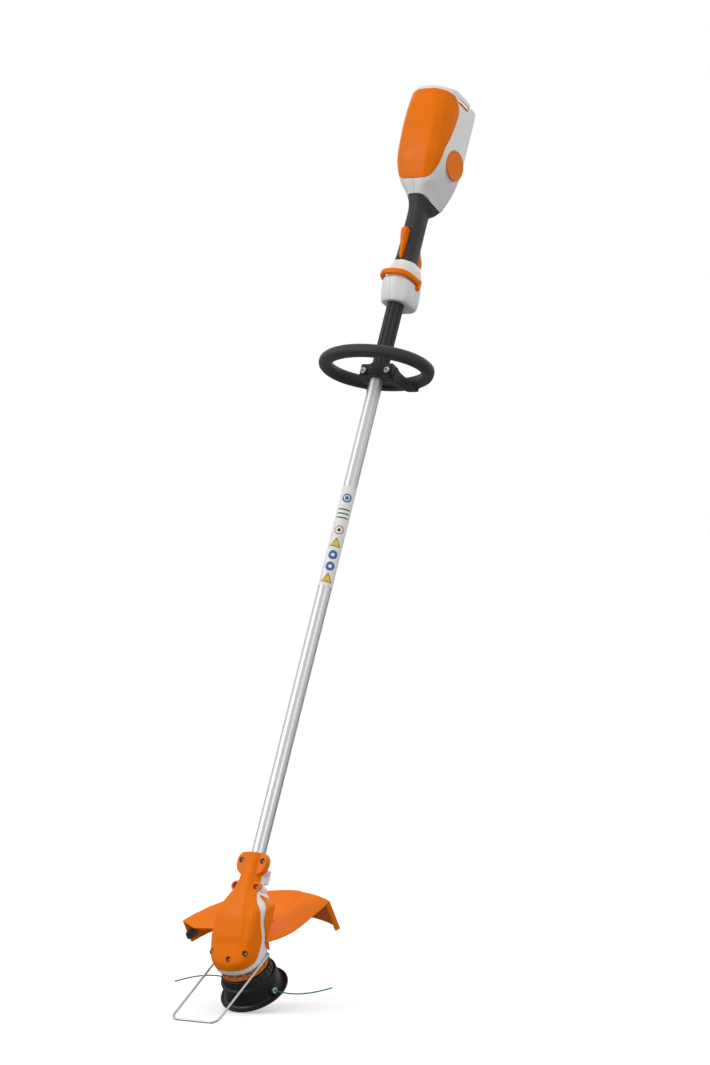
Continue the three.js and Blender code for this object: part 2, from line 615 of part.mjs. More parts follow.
function loopHandle() {
  const geometry = new THREE.TorusGeometry(10, 1, 10, 32);
  const place = geometry.getAttribute("position");
  for (let i = 0; i < place.count; i += 1) {
    const [px, py, pz] = [place.getX(i), place.getY(i), place.getZ(i)];
    const turn = Math.atan2(py, px);
    const out = Math.hypot(px, py) - 10;
    const rear = (1 + Math.sin(turn)) / 2;
    const bar = LOOP_BAR * (1 - 0.2 * rear);
    const outward = new THREE.Vector2(Math.cos(turn) / LOOP_A, Math.sin(turn) / LOOP_B).normalize();
    const x = LOOP_A * Math.cos(turn) + out * bar * outward.x;
    const y = LOOP_B * Math.sin(turn) - LOOP_FORWARD + out * bar * outward.y;
    place.setXYZ(i, x, y, LOOP_Z + pz * LOOP_BAR);
  }
  let body = solid(geometry);
  const [low, high] = [CLAMP_LOW, CLAMP_HIGH];
  body = body.add(box(-CLAMP_WING, CLAMP_WING, GAP, 12, low, high));
  body = body.add(box(-TUBE_R - 6.5, TUBE_R + 6.5, GAP, TUBE_R + 6, low, high));
  const rearY = LOOP_B - LOOP_FORWARD;
  for (const side of [1, -1]) {
    const leg = [];
    for (const z of [low + 2, high - 4]) {
      leg.push([side * (TUBE_R + 5.5), 8, z], [side * CLAMP_WING, 8, z]);
      leg.push([side * 28, rearY - 4, z], [side * 58, rearY - 14, z]);
    }
    body = body.add(hull(leg));
  }
  body = body.subtract(rod(TUBE_R + GAP, low - 5, high + 5));
  for (const side of [1, -1]) {
    const x = side * CLAMP_X;
    body = body.subtract(pin(SCREW_R + GAP, [x, -5, CLAMP_MID], [x, 30, CLAMP_MID]));
    body = body.subtract(pin(NUT_R + GAP, [x, 9, CLAMP_MID], [x, 45, CLAMP_MID], 16));
  }
  return body;
}

function clampCap() {
  const [low, high] = [CLAMP_LOW, CLAMP_HIGH];
  let body = box(-CLAMP_WING, CLAMP_WING, -CLAMP_FRONT + 5, -GAP, low, high);
  body = body.add(box(-TUBE_R - 2.5, TUBE_R + 2.5, -CLAMP_FRONT, -GAP, low + 1, high - 1));
  body = body.subtract(rod(TUBE_R + GAP, low - 5, high + 5));
  for (const side of [1, -1]) {
    const x = side * CLAMP_X;
    body = body.subtract(pin(SCREW_R + GAP, [x, -40, CLAMP_MID], [x, 5, CLAMP_MID]));
  }
  return body;
}

function gripSleeve() {
  let body = ring(TUBE_R + GAP, SLEEVE_R, SLEEVE_LOW, SLEEVE_HIGH, 24);
  for (let i = 0; i < GROOVES; i += 1) {
    const groove = box(-1.5, 1.5, SLEEVE_R - GROOVE_DEPTH, SLEEVE_R + 2, SLEEVE_LOW - 2, SLEEVE_HIGH + 2);
    body = body.subtract(groove.rotate([0, 0, (360 * (i + 0.5)) / GROOVES]));
  }
  return body;
}

// ---------------------------------------------------------------- collar, grip and battery housing
const COLLAR_SECTIONS = [
  level(COLLAR_LOW, 24, 33, 22), level(COLLAR_LOW + 4, 25.5, 37, 27),
  level(COLLAR_LOW + 14, 29, 40, 29.5), level(COLLAR_STEP - 1, 36.5, 38, 29.5),
  level(COLLAR_STEP + 1, 31, 35, 25), level(COLLAR_HIGH - 19, 30, 34, 25),
  level(COLLAR_HIGH - 6, 26, 29, 23.5), level(COLLAR_HIGH, 24, 27, 22),
];
const COLLAR_CORE = [
  level(COLLAR_LOW + 6, 22.5, 34, 23), level(COLLAR_LOW + 14, 26, 37, 26.5),
  level(COLLAR_STEP - 4, 33, 35, 26.5), level(COLLAR_STEP - 2, 28, 32, 22),
  level(COLLAR_HIGH - 19, 27, 31, 22), level(COLLAR_HIGH - 6, 23, 26, 20.5),
  level(COLLAR_HIGH + 2, 21, 24, 19),
];
const HANDLE_SECTIONS = [
  level(COLLAR_HIGH + GAP, 22, 23, 20), level(COLLAR_HIGH + 15, 20, 21, 18.5),
  level(COLLAR_HIGH + 83, 19, 20, 18), level(HANDLE_HIGH - 20, 20, 20, 18),
  level(HANDLE_HIGH - 6, 25, 44, 19), level(HANDLE_HIGH, 27.5, 51, 20),
];
const HOUSING_SECTIONS = [
  level(HANDLE_HIGH + GAP, 28, 51, 21), level(HANDLE_HIGH + 14, 37, 50, 29),
  level(HANDLE_HIGH + 29, 46, 49, HOUSING_W - 13), level(HANDLE_HIGH + 49, 55, 47, HOUSING_W - 5),
  level(BATTERY_LOW, 61, HOUSING_REAR, HOUSING_W),
  level(HANDLE_HIGH + 126, HOUSING_FRONT - 3, HOUSING_REAR, HOUSING_W),
  level(HOUSING_HIGH - 25, HOUSING_FRONT, HOUSING_REAR, HOUSING_W),
  level(HOUSING_HIGH, HOUSING_FRONT, HOUSING_REAR, HOUSING_W - 1),
];
const half = (body, side) => {
  const reach = HOUSING_HIGH + 50;
  const edge = (side * GAP) / 2;
  return body.intersect(box(...(side > 0 ? [edge, 200] : [-200, edge]), -200, 200, 0, reach));
};

// The slot that the bail's leg hangs in, and the block behind it that its pin turns in.
const BAIL_SLOT = { x: BAIL_X - BAIL_THICK - 0.5, across: 7, below: 7 };
function collar(side) {
  let body = loft(COLLAR_SECTIONS, 3).subtract(loft(COLLAR_CORE, 3));
  body = body.add(box(-28, 28, -2, 2, COLLAR_LOW + 14, COLLAR_STEP - 4));
  body = body.add(ring(TUBE_R + GAP, TUBE_R + 4, SLEEVE_HIGH + 4, BAIL_Z + 6, 24));
  const { x, across, below } = BAIL_SLOT;
  const [front, rear] = [BAIL_PIVOT_Y - across, BAIL_PIVOT_Y + across];
  const low = BAIL_PIVOT_Z - below;
  body = body.add(box(-x - 1.5, x + 1.5, front - 2, rear + 2, low - 3, COLLAR_STEP - 1));
  const span = side > 0 ? [x, 60] : [-60, -x];
  body = body.subtract(box(...span, front, rear, low, BAIL_Z));
  body = body.subtract(rod(TUBE_R + GAP, COLLAR_LOW - 5, COLLAR_HIGH + 5));
  body = body.subtract(rod(SLEEVE_R + GAP, COLLAR_LOW - 5, SLEEVE_HIGH + GAP));
  const pivot = [BAIL_PIVOT_Y, BAIL_PIVOT_Z];
  body = body.subtract(pin(BAIL_PIN_R + 2 * GAP, [side * (x - 8), ...pivot], [side * 60, ...pivot], 12));
  return half(body, side);
}

// A flat bow round the collar's front, with a leg and an inward pin at each end.
function carryBail() {
  const spots = [[-BAIL_X, BAIL_PIVOT_Y]];
  for (let i = 0; i <= 12; i += 1) {
    const turn = Math.PI * (i / 12);
    const [across, ahead] = [Math.cos(turn), Math.sin(turn)].map((value) => signedPower(value, 0.75));
    spots.push([-BAIL_X * across, -BAIL_REACH * ahead]);
  }
  spots.push([BAIL_X, BAIL_PIVOT_Y]);
  let body = bentBar(spots, BAIL_Z, BAIL_THICK, BAIL_TALL, 10);
  const pivot = [BAIL_PIVOT_Y, BAIL_PIVOT_Z];
  const [inner, outer] = [BAIL_X - BAIL_THICK, BAIL_X + BAIL_THICK];
  for (const side of [1, -1]) {
    const foot = pin(5, [side * inner, ...pivot], [side * outer, ...pivot], 12);
    const span = side > 0 ? [inner, outer] : [-outer, -inner];
    const leg = box(...span, BAIL_PIVOT_Y - 5, BAIL_PIVOT_Y + 5, BAIL_PIVOT_Z, BAIL_Z + BAIL_TALL - 0.5);
    body = body.add(foot).add(leg);
    body = body.add(pin(BAIL_PIN_R, [side * (inner - 6), ...pivot], [side * (inner + 1), ...pivot], 12));
  }
  return body;
}

// Heights of the lever, the trigger and the cable's end are counted from the collar's top.
const LEVER_X = 5;
const TRIGGER_X = 7;
const LEVER_SLOT = [2, 67];
const TRIGGER_SLOT = [2, 61];
const LEVER_OUTLINE = [[-12, 4], [-23, 4], [-34, 57], [-31, 64], [-17, 64], [-14, 43]];
const TRIGGER_OUTLINE = [
  [9, 56], [20, 56], [24, 47], [30, 35], [38, 25], [41, 15], [36, 7], [26, 5], [12, 23],
];
const CABLE_HIGH = COLLAR_HIGH + 15;
const above = (outline, z) => outline.map(([y, rise]) => [y, z + rise]);
function gripShell(side) {
  const core = inset(HANDLE_SECTIONS, WALL);
  core[0] = level(COLLAR_HIGH - 2, 20, 21, 18);
  core[5] = level(HANDLE_HIGH + 2, 25, 47, 17);
  let body = loft(HANDLE_SECTIONS, 2.6).subtract(loft(core, 2.6));
  const [leverLow, leverHigh] = LEVER_SLOT.map((rise) => COLLAR_HIGH + rise);
  const [triggerLow, triggerHigh] = TRIGGER_SLOT.map((rise) => COLLAR_HIGH + rise);
  body = body.subtract(box(-LEVER_X - 1, LEVER_X + 1, -60, -6, leverLow, leverHigh));
  body = body.subtract(box(-TRIGGER_X - 1, TRIGGER_X + 1, 6, 60, triggerLow, triggerHigh));
  return half(body, side);
}
const lockoutLever = () => slab(above(LEVER_OUTLINE, COLLAR_HIGH), -LEVER_X, LEVER_X);
const trigger = () => slab(above(TRIGGER_OUTLINE, COLLAR_HIGH), -TRIGGER_X, TRIGGER_X);
const powerSwitch = () => box(-7, 7, -7, 5, CABLE_HIGH + GAP, CABLE_HIGH + 20);
const powerCable = () => rod(CABLE_R, 112, CABLE_HIGH, 10);

// The line on the side wall where the front cover meets the two shells, [y, height over the grip].
const COVER_EDGE = [
  [-HOUSING_FRONT - 20, 14], [-50, 22], [-38, 34], [-33, 59], [-34, 88], [-26, 125], [-21, 169],
  [-29, 187], [-43, 200], [-HOUSING_FRONT - 20, 204],
];
const COVER_REGION = slab(above(COVER_EDGE, HANDLE_HIGH), -100, 100);
const HOUSING_BODY = (() => {
  const core = inset(HOUSING_SECTIONS, HOUSING_WALL);
  core[0] = level(HANDLE_HIGH - 2, 25, 47, 17);
  core[7] = level(
    HOUSING_HIGH + 3, HOUSING_FRONT - HOUSING_WALL, HOUSING_REAR - HOUSING_WALL, HOUSING_W - 1 - HOUSING_WALL,
  );
  return loft(HOUSING_SECTIONS, 4.5, 24).subtract(loft(core, 4.5, 24));
})();
const BADGE_SEAT = HOUSING_W - 1.2;
const disc = (radius, x0, x1) => pin(radius, [x0, BADGE_Y, BADGE_Z], [x1, BADGE_Y, BADGE_Z], 28);
function housingShell(side) {
  let body = HOUSING_BODY.subtract(COVER_REGION);
  body = body.subtract(box(HOUSING_W - 10, HOUSING_W + 30, -30, 8, HOUSING_HIGH - 20, HOUSING_HIGH - 9));
  if (side > 0) {
    body = body.subtract(disc(BADGE_R + GAP, BADGE_SEAT, BADGE_SEAT + 30));
  }
  return half(body, side);
}
// The cover keeps the gap from the shells behind it, below it and above it.
function housingCover() {
  const gaps = [[0, -GAP, 0], [0, 0, GAP], [0, 0, -GAP]];
  return gaps.reduce((body, step) => body.intersect(COVER_REGION.translate(step)), HOUSING_BODY);
}
const badge = () => disc(BADGE_R, BADGE_SEAT + GAP, BADGE_SEAT + 2);
function batteryPack() {
  const ends = level(BATTERY_LOW, BATTERY_FRONT - 2, BATTERY_REAR - 2, BATTERY_X - 2);
  const full = level(BATTERY_LOW + 3, BATTERY_FRONT, BATTERY_REAR, BATTERY_X);
  const raised = ([frontY, , rearY, , width], z) => [frontY, z, rearY, z, width];
  return loft([ends, full, raised(full, HOUSING_HIGH - 5), raised(ends, HOUSING_HIGH - 2)], 7, 28);
}
const LATCH_IN = BATTERY_X + 4.5;
const batteryLatch = () => box(LATCH_IN, LATCH_IN + 3, -26, 5, HOUSING_HIGH - 50, HOUSING_HIGH - 11);
const terminalBlock = () => box(-24, 24, -28, 28, BATTERY_LOW - 14, BATTERY_LOW - GAP);
const controlBoard = () =>
  box(-30, 30, -BATTERY_FRONT - 6, -BATTERY_FRONT - 4, BATTERY_LOW + 15, HOUSING_HIGH - 35);

// ---------------------------------------------------------------- the assembly
piece(headFrame, "spool_base", spoolBase(), BLACK);
piece(headFrame, "spool_cap", spoolCap(), BLACK);
EYELET_SIDES.forEach((side, i) => {
  piece(headFrame, `eyelet_${i + 1}`, eyelet(side), STEEL);
  piece(headFrame, `cutting_line_${i + 1}`, cuttingLine(side), GREEN);
});
piece(headFrame, "line_reel", lineReel(), BLACK);
piece(headFrame, "line_coil", lineCoil(), GREEN);
piece(headFrame, "bump_knob", bumpKnob(), BLACK);
piece(headFrame, "bump_spring", bumpSpring(), STEEL);
piece(headFrame, "motor_shaft", motorShaft(), STEEL);
piece(headFrame, "motor_rotor", motorRotor(), STEEL);
piece(headFrame, "motor_stator", motorStator(), COPPER);
piece(headFrame, "motor_bell_lower", bellLower(), ALLOY);
piece(headFrame, "motor_bell_upper", bellUpper(), ALLOY);
piece(headFrame, "bearing_lower", bearing(BELL_LOW + 1), STEEL);
piece(headFrame, "bearing_upper", bearing(STATOR_HIGH + 1), STEEL);
piece(headFrame, "vent_ring", ventRing(), ORANGE);
piece(headFrame, "deflector", deflector(), ORANGE);
piece(headFrame, "line_knife", lineKnife(), STEEL);
piece(headFrame, "knife_screw", knifeScrew(), STEEL);
piece(headFrame, "wire_guard", wireGuard(), STEEL);

piece(shaftFrame, "head_cover", headCover(), ORANGE);
piece(shaftFrame, "head_shell", headShell(), WHITE);
[1, -1].forEach((side, i) => {
  for (const [name, boss] of [["neck_screw_upper", UPPER_BOSS], ["neck_screw_lower", LOWER_BOSS]]) {
    const body = screwAlongY(side * boss.x, boss.z, boss.front + SINK - GAP, boss.end);
    piece(shaftFrame, `${name}_${i + 1}`, body, STEEL);
  }
});
COVER_SCREWS.forEach(({ x, z, seat }, i) => {
  piece(shaftFrame, `cover_screw_${i + 1}`, screwAlongY(x, z, seat - GAP, seat + 4), STEEL);
});
[1, -1].forEach((side, i) => {
  const { x, z, seat } = COWL_SCREW;
  piece(shaftFrame, `cowl_screw_${i + 1}`, screwAlongY(side * x, z, seat + GAP, seat - 8), STEEL);
});
piece(shaftFrame, "shaft_tube", shaftTube(), ALLOY);
piece(shaftFrame, "power_cable", powerCable(), SOFT);
piece(shaftFrame, "tube_label", tubeLabel(), LABEL);
piece(shaftFrame, "loop_handle", loopHandle(), SOFT);
piece(shaftFrame, "clamp_cap", clampCap(), BLACK);
[1, -1].forEach((side, i) => {
  const x = side * CLAMP_X;
  const nut = pin(NUT_R, [x, 9 + GAP, CLAMP_MID], [x, 14, CLAMP_MID], 6);
  const hole = pin(SCREW_R + GAP, [x, 0, CLAMP_MID], [x, 20, CLAMP_MID], 12);
  const screw = screwAlongY(x, CLAMP_MID, -CLAMP_FRONT + 5 - GAP, 15, 6, 5, SCREW_R);
  piece(shaftFrame, `clamp_screw_${i + 1}`, screw, STEEL);
  piece(shaftFrame, `clamp_nut_${i + 1}`, nut.subtract(hole), STEEL);
});
piece(shaftFrame, "grip_sleeve", gripSleeve(), SOFT);
[["left", -1], ["right", 1]].forEach(([name, side]) => {
  piece(shaftFrame, `collar_${name}`, collar(side), WHITE);
  piece(shaftFrame, `grip_${name}`, gripShell(side), SOFT);
  piece(shaftFrame, `housing_${name}`, housingShell(side), WHITE);
});
piece(shaftFrame, "carry_bail", carryBail(), ORANGE);
piece(shaftFrame, "lockout_lever", lockoutLever(), ORANGE);
piece(shaftFrame, "trigger", trigger(), ORANGE);
piece(shaftFrame, "power_switch", powerSwitch(), BLACK);
piece(shaftFrame, "housing_cover", housingCover(), ORANGE);
piece(shaftFrame, "badge", badge(), ORANGE);
piece(shaftFrame, "battery_pack", batteryPack(), BLACK);
piece(shaftFrame, "battery_latch", batteryLatch(), ORANGE);
piece(shaftFrame, "terminal_block", terminalBlock(), BLACK);
piece(shaftFrame, "control_board", controlBoard(), BLACK);

// ---------------------------------------------------------------- posture and origin
shaftFrame.rotation.x = rad(-SHAFT_LEAN);
headFrame.rotation.x = rad(HEAD_TILT);
headFrame.position.copy(new THREE.Vector3(0, HEAD_SETBACK, 0).applyEuler(shaftFrame.rotation));
model.updateMatrixWorld(true);
const extent = new THREE.Box3();
model.traverse((object) => {
  if (object.isMesh && !object.name.startsWith("cutting_line")) {
    extent.expandByObject(object, true);
  }
});
const middle = extent.getCenter(new THREE.Vector3());
for (const frame of [shaftFrame, headFrame]) {
  frame.position.sub(new THREE.Vector3(middle.x, middle.y, extent.min.z));
}

export default model;
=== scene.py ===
"""Battery string trimmer: the finished look of each piece, built around the fixed frame."""
import json
import math
import bpy
from mathutils import Matrix, Vector


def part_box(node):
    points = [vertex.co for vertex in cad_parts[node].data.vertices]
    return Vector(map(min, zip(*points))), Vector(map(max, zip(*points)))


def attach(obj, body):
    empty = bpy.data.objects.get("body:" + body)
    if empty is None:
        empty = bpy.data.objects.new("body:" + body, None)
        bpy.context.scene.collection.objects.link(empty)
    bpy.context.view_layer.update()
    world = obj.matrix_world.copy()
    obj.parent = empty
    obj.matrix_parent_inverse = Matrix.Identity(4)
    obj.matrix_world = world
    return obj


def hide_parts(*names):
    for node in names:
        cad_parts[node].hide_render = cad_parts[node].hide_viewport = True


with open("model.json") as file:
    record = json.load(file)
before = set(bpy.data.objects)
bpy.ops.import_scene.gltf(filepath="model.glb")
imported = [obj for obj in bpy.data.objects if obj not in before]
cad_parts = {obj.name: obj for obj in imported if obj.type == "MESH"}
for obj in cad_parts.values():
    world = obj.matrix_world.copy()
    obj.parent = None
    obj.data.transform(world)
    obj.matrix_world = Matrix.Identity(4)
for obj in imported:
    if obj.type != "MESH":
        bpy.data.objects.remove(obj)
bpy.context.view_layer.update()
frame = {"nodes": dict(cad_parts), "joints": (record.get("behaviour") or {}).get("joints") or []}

bl_info = {
    "name": "String Trimmer",
    "version": (1, 0, 0),
    "blender": (4, 5, 0),
    "location": "View3D > Sidebar > Trimmer",
    "description": "Builds the finished pieces of a battery string trimmer",
    "category": "Object",
}

# ------------------------------------------------------------------ the two working frames
# Pieces are shaped in millimetres in one of two frames. Shaft frame: z up the tube. Head frame:
# z up the spool's axis. In both, x runs across the tool and y towards the user's side.
MM = 0.001
JOINTS = {joint["name"]: joint for joint in frame["joints"]}


def working_frame(origin, axis):
    up = Vector(axis).normalized()
    across = Vector((1.0, 0.0, 0.0))
    turn = Matrix((across, up.cross(across), up)).transposed().to_4x4()
    return Matrix.Translation(origin) @ turn @ Matrix.Scale(MM, 4)


def tube_foot():
    """The tube axis's nearest point to the spool's centre, where the shaft frame starts."""
    low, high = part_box("shaft_tube")
    along = Vector(JOINTS["battery_slide"]["axis"]).normalized()
    middle = (low + high) / 2
    return middle + along * (Vector(JOINTS["spool_spin"]["pos_m"]) - middle).dot(along)


HEAD = working_frame(Vector(JOINTS["spool_spin"]["pos_m"]), JOINTS["spool_spin"]["axis"])
SHAFT = working_frame(tube_foot(), JOINTS["battery_slide"]["axis"])
TO_SHAFT = SHAFT.inverted() @ HEAD
TO_HEAD = HEAD.inverted() @ SHAFT


# ------------------------------------------------------------------ modelling helpers
def deselect():
    if bpy.context.object and bpy.context.object.mode != "OBJECT":
        bpy.ops.object.mode_set(mode="OBJECT")
    bpy.ops.object.select_all(action="DESELECT")


def pick(piece):
    deselect()
    piece.select_set(True)
    bpy.context.view_layer.objects.active = piece


def tidy_mesh(piece, fill=True):
    """Merges doubles, closes open ends and turns the faces outwards."""
    pick(piece)
    bpy.ops.object.mode_set(mode="EDIT")
    bpy.ops.mesh.select_all(action="SELECT")
    bpy.ops.mesh.remove_doubles(threshold=0.01)
    bpy.ops.mesh.delete_loose()
    bpy.ops.mesh.select_all(action="SELECT")
    if fill:
        bpy.ops.mesh.fill_holes(sides=0)
        bpy.ops.mesh.select_all(action="SELECT")
        bpy.ops.mesh.normals_make_consistent(inside=False)
    bpy.ops.object.mode_set(mode="OBJECT")
    return piece


def skin(rows):
    """A grid whose corners are moved onto rows of points."""
    deselect()
    bpy.ops.mesh.primitive_grid_add(x_subdivisions=len(rows[0]) - 1, y_subdivisions=len(rows) - 1)
    piece = bpy.context.object
    piece.data.vertices.foreach_set("co", [c for row in rows for point in row for c in point])
    piece.data.update()
    return piece


def loft(rings):
    """A closed body over rings of points."""
    return tidy_mesh(skin([[*ring, ring[0]] for ring in rings]))


def turned(profile, steps=96):
    """A closed [radius, height] outline spun round z."""
    deselect()
    bpy.ops.mesh.primitive_circle_add(vertices=len(profile), fill_type="NOTHING")
    piece = bpy.context.object
    for vertex, (radius, height) in zip(piece.data.vertices, profile):
        vertex.co = (radius, 0, height)
    bpy.ops.object.mode_set(mode="EDIT")
    bpy.ops.mesh.select_all(action="SELECT")
    bpy.ops.mesh.spin(steps=steps, angle=2 * math.pi, center=(0, 0, 0), axis=(0, 0, 1))
    return tidy_mesh(piece, fill=False) and face_out(piece)


def face_out(piece):
    pick(piece)
    bpy.ops.object.mode_set(mode="EDIT")
    bpy.ops.mesh.select_all(action="SELECT")
    bpy.ops.mesh.normals_make_consistent(inside=False)
    bpy.ops.object.mode_set(mode="OBJECT")
    return piece


AXES = {"x": lambda a, b, w: (w, a, b), "y": lambda a, b, w: (a, w, b), "z": lambda a, b, w: (a, b, w)}


def plate(outline, low, high, axis="z"):
    """A flat outline given depth along an axis. Outlines are [y, z], [x, z] or [x, y]."""
    deselect()
    bpy.ops.mesh.primitive_circle_add(vertices=len(outline), fill_type="NGON")
    piece = bpy.context.object
    for vertex, (a, b) in zip(piece.data.vertices, outline):
        vertex.co = AXES[axis](a, b, low)
    bpy.ops.object.mode_set(mode="EDIT")
    bpy.ops.mesh.select_all(action="SELECT")
    bpy.ops.mesh.extrude_region_move(TRANSFORM_OT_translate={"value": AXES[axis](0, 0, high - low)})
    bpy.ops.mesh.select_all(action="SELECT")
    bpy.ops.mesh.normals_make_consistent(inside=False)
    bpy.ops.object.mode_set(mode="OBJECT")
    return piece


def block(x0, x1, y0, y1, z0, z1):
    return plate([(x0, y0), (x1, y0), (x1, y1), (x0, y1)], z0, z1)


def aimed(piece, start, end):
    """Turns a piece made along z so that it starts at one point and runs towards another."""
    along = (Vector(end) - Vector(start)).normalized()
    turn = Vector((0, 0, 1)).rotation_difference(along)
    piece.data.transform(Matrix.Translation(start) @ turn.to_matrix().to_4x4())
    return piece


def rod(radius, start, end, sides=40):
    length = (Vector(end) - Vector(start)).length
    outline = [(radius * math.cos(a), radius * math.sin(a)) for a in turns(sides)]
    return aimed(plate(outline, 0, length), start, end)


def turns(count):
    return [2 * math.pi * i / count for i in range(count)]


def applied(piece, kind, **settings):
    """Adds a modifier with its settings and applies it."""
    modifier = piece.modifiers.new(kind.title(), kind)
    for key, value in settings.items():
        setattr(modifier, key, value)
    pick(piece)
    bpy.ops.object.modifier_apply(modifier=modifier.name)
    return piece


def joined(piece, tool, how="DIFFERENCE"):
    applied(piece, "BOOLEAN", object=tool, operation=how, solver="MANIFOLD")
    bpy.data.objects.remove(tool, do_unlink=True)
    return piece


def copied(piece):
    twin = piece.copy()
    twin.data = piece.data.copy()
    bpy.context.collection.objects.link(twin)
    return twin


def moved(piece, matrix):
    piece.data.transform(matrix)
    if matrix.determinant() < 0:
        piece.data.flip_normals()
    return piece


def softened(piece, width, segments=2, angle=40):
    return applied(
        piece, "BEVEL", width=width, segments=segments, limit_method="ANGLE",
        angle_limit=math.radians(angle),
    )


def moulded(piece, voxel, rounds=4):
    """Blends a piece's joints like moulded plastic: a fine even skin, smoothed a little."""
    applied(piece, "REMESH", mode="VOXEL", voxel_size=voxel)
    return applied(piece, "SMOOTH", factor=0.5, iterations=rounds)


def settled(piece, name, place, finish, body, slot, *nodes, smooth=35):
    """Gives a finished piece its name, place, finish and body."""
    moved(piece, place)
    piece.name = name
    piece.data.name = name
    piece.data.materials.clear()
    piece.data.materials.append(FINISHES[finish])
    pick(piece)
    bpy.ops.object.shade_smooth_by_angle(angle=math.radians(smooth))
    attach(piece, body)
    if nodes:
        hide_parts(*nodes)
    return piece


def eased(stations, place):
    """Values at a place between stations (place, value, ...), on smooth curves without overshoot."""
    last = len(stations) - 1
    k = 0
    while k < last - 1 and place > stations[k + 1][0]:
        k += 1
    spans = [b[0] - a[0] for a, b in zip(stations, stations[1:])]
    t = min(max((place - stations[k][0]) / spans[k], 0), 1)
    values = []
    for i in range(1, len(stations[0])):
        slopes = [(b[i] - a[i]) / span for a, b, span in zip(stations, stations[1:], spans)]

        def slope(j):
            if j in (0, last):
                return slopes[min(j, last - 1)]
            a, b = slopes[j - 1], slopes[j]
            return 0 if a * b <= 0 else 2 * a * b / (a + b)

        v0, v1 = stations[k][i], stations[k + 1][i]
        m0, m1 = slope(k) * spans[k], slope(k + 1) * spans[k]
        a = 2 * t**3 - 3 * t**2 + 1
        b = t**3 - 2 * t**2 + t
        values.append(a * v0 + b * m0 + (1 - a) * v1 + (t**3 - t**2) * m1)
    return values


def ramp(value, low, high):
    share = min(max((value - low) / (high - low), 0), 1)
    return share * share * (3 - 2 * share)


def spread(low, high, count):
    return [low + (high - low) * i / (count - 1) for i in range(count)]


def curve_through(points, steps):
    """Points on a smooth curve through the given ones."""
    places = [0.0]
    for a, b in zip(points, points[1:]):
        places.append(places[-1] + math.dist(a, b))
    stations = [(at, *point) for at, point in zip(places, points)]
    return [eased(stations, at) for at in spread(0, places[-1], steps)]


def rounded(corners, steps=3):
    """An outline [x, y, radius] with each corner rounded, the same number of points each time."""
    outline = []
    for i, (x, y, radius) in enumerate(corners):
        here = Vector((x, y))
        before, after = Vector(corners[i - 1][:2]), Vector(corners[(i + 1) % len(corners)][:2])
        ends = []
        for other in (before, after):
            edge = other - here
            ends.append(here + edge * min(radius / max(edge.length, 1e-6), 0.49))
        for t in spread(0, 1, steps + 1):
            outline.append((1 - t) ** 2 * ends[0] + 2 * t * (1 - t) * here + t**2 * ends[1])
    return outline


def both_sides(half):
    """Corners of a whole outline from those of its right half, front to rear."""
    return [*half, *[(-x, y, radius) for x, y, radius in reversed(half)]]


def tube_along(path, outline):
    """Rows that carry a [side, up] outline along a path without twist."""
    points = [Vector(p) for p in path]
    rows = []
    up = None
    for i, point in enumerate(points):
        before = points[max(i - 1, 0)]
        after = points[min(i + 1, len(points) - 1)]
        along = (after - before).normalized()
        if up is None:
            up = Vector((0, 0, 1)) if abs(along.z) < 0.9 else Vector((0, 1, 0))
        side = along.cross(up).normalized()
        up = side.cross(along).normalized()
        rows.append([point + side * a + up * b for a, b in outline])
    return rows


def circle(radius, sides=16):
    return [(radius * math.cos(a), radius * math.sin(a)) for a in turns(sides)]


# ------------------------------------------------------------------ materials
class Finish:
    """A node material under construction, on Object coordinates."""

    def __init__(self, name):
        self.material = bpy.data.materials.new(name)
        self.material.use_nodes = True
        self.tree = self.material.node_tree
        self.shader = self.tree.nodes["Principled BSDF"]
        self.coords = self.node("ShaderNodeTexCoord").outputs["Object"]

    def node(self, kind, **inputs):
        made = self.tree.nodes.new(kind)
        for key, value in inputs.items():
            self.put(made, key, value)
        return made

    def put(self, node, key, value):
        socket = node.inputs[int(key[1:])] if key[0] == "_" else node.inputs[key.replace("_", " ")]
        if isinstance(value, bpy.types.NodeSocket):
            self.tree.links.new(value, socket)
        else:
            socket.default_value = value

    def noise(self, scale, detail=2.0, rough=0.5, coords=None):
        return self.node(
            "ShaderNodeTexNoise", Vector=coords or self.coords, Scale=scale, Detail=detail, Roughness=rough,
        ).outputs["Fac"]

    def stretched(self, x, y, z, turn=(0, 0, 0)):
        """Object coordinates turned, then stretched."""
        mapping = self.node("ShaderNodeMapping", Vector=self.coords, Rotation=turn, Scale=(x, y, z))
        return mapping.outputs["Vector"]

    def ranged(self, value, low, high, start=0.3, end=0.7):
        node = self.node("ShaderNodeMapRange", Value=value)
        self.put(node, "From_Min", start)
        self.put(node, "From_Max", end)
        self.put(node, "To_Min", low)
        self.put(node, "To_Max", high)
        return node.outputs["Result"]

    def mix(self, factor, first, second):
        node = self.tree.nodes.new("ShaderNodeMix")
        node.data_type = "RGBA"
        self.put(node, "_0", factor)
        self.put(node, "_6", first)
        self.put(node, "_7", second)
        return node.outputs[2]

    def math(self, how, first, second=0.0):
        node = self.tree.nodes.new("ShaderNodeMath")
        node.operation = how
        self.put(node, "_0", first)
        self.put(node, "_1", second)
        return node.outputs[0]

    def relief(self, height, strength, distance, edge=0.0):
        """Surface relief, over edges whose shading is rounded."""
        node = self.node("ShaderNodeBump", Height=height, Strength=strength, Distance=distance)
        if edge:
            bevel = self.node("ShaderNodeBevel", Radius=edge)
            bevel.samples = 4
            self.put(node, "Normal", bevel.outputs["Normal"])
        self.put(self.shader, "Normal", node.outputs["Normal"])

    def set(self, **values):
        for key, value in values.items():
            self.put(self.shader, key, value)
        return self


def shade(colour, factor):
    return (*[min(max(c * factor, 0), 1) for c in colour[:3]], 1.0)


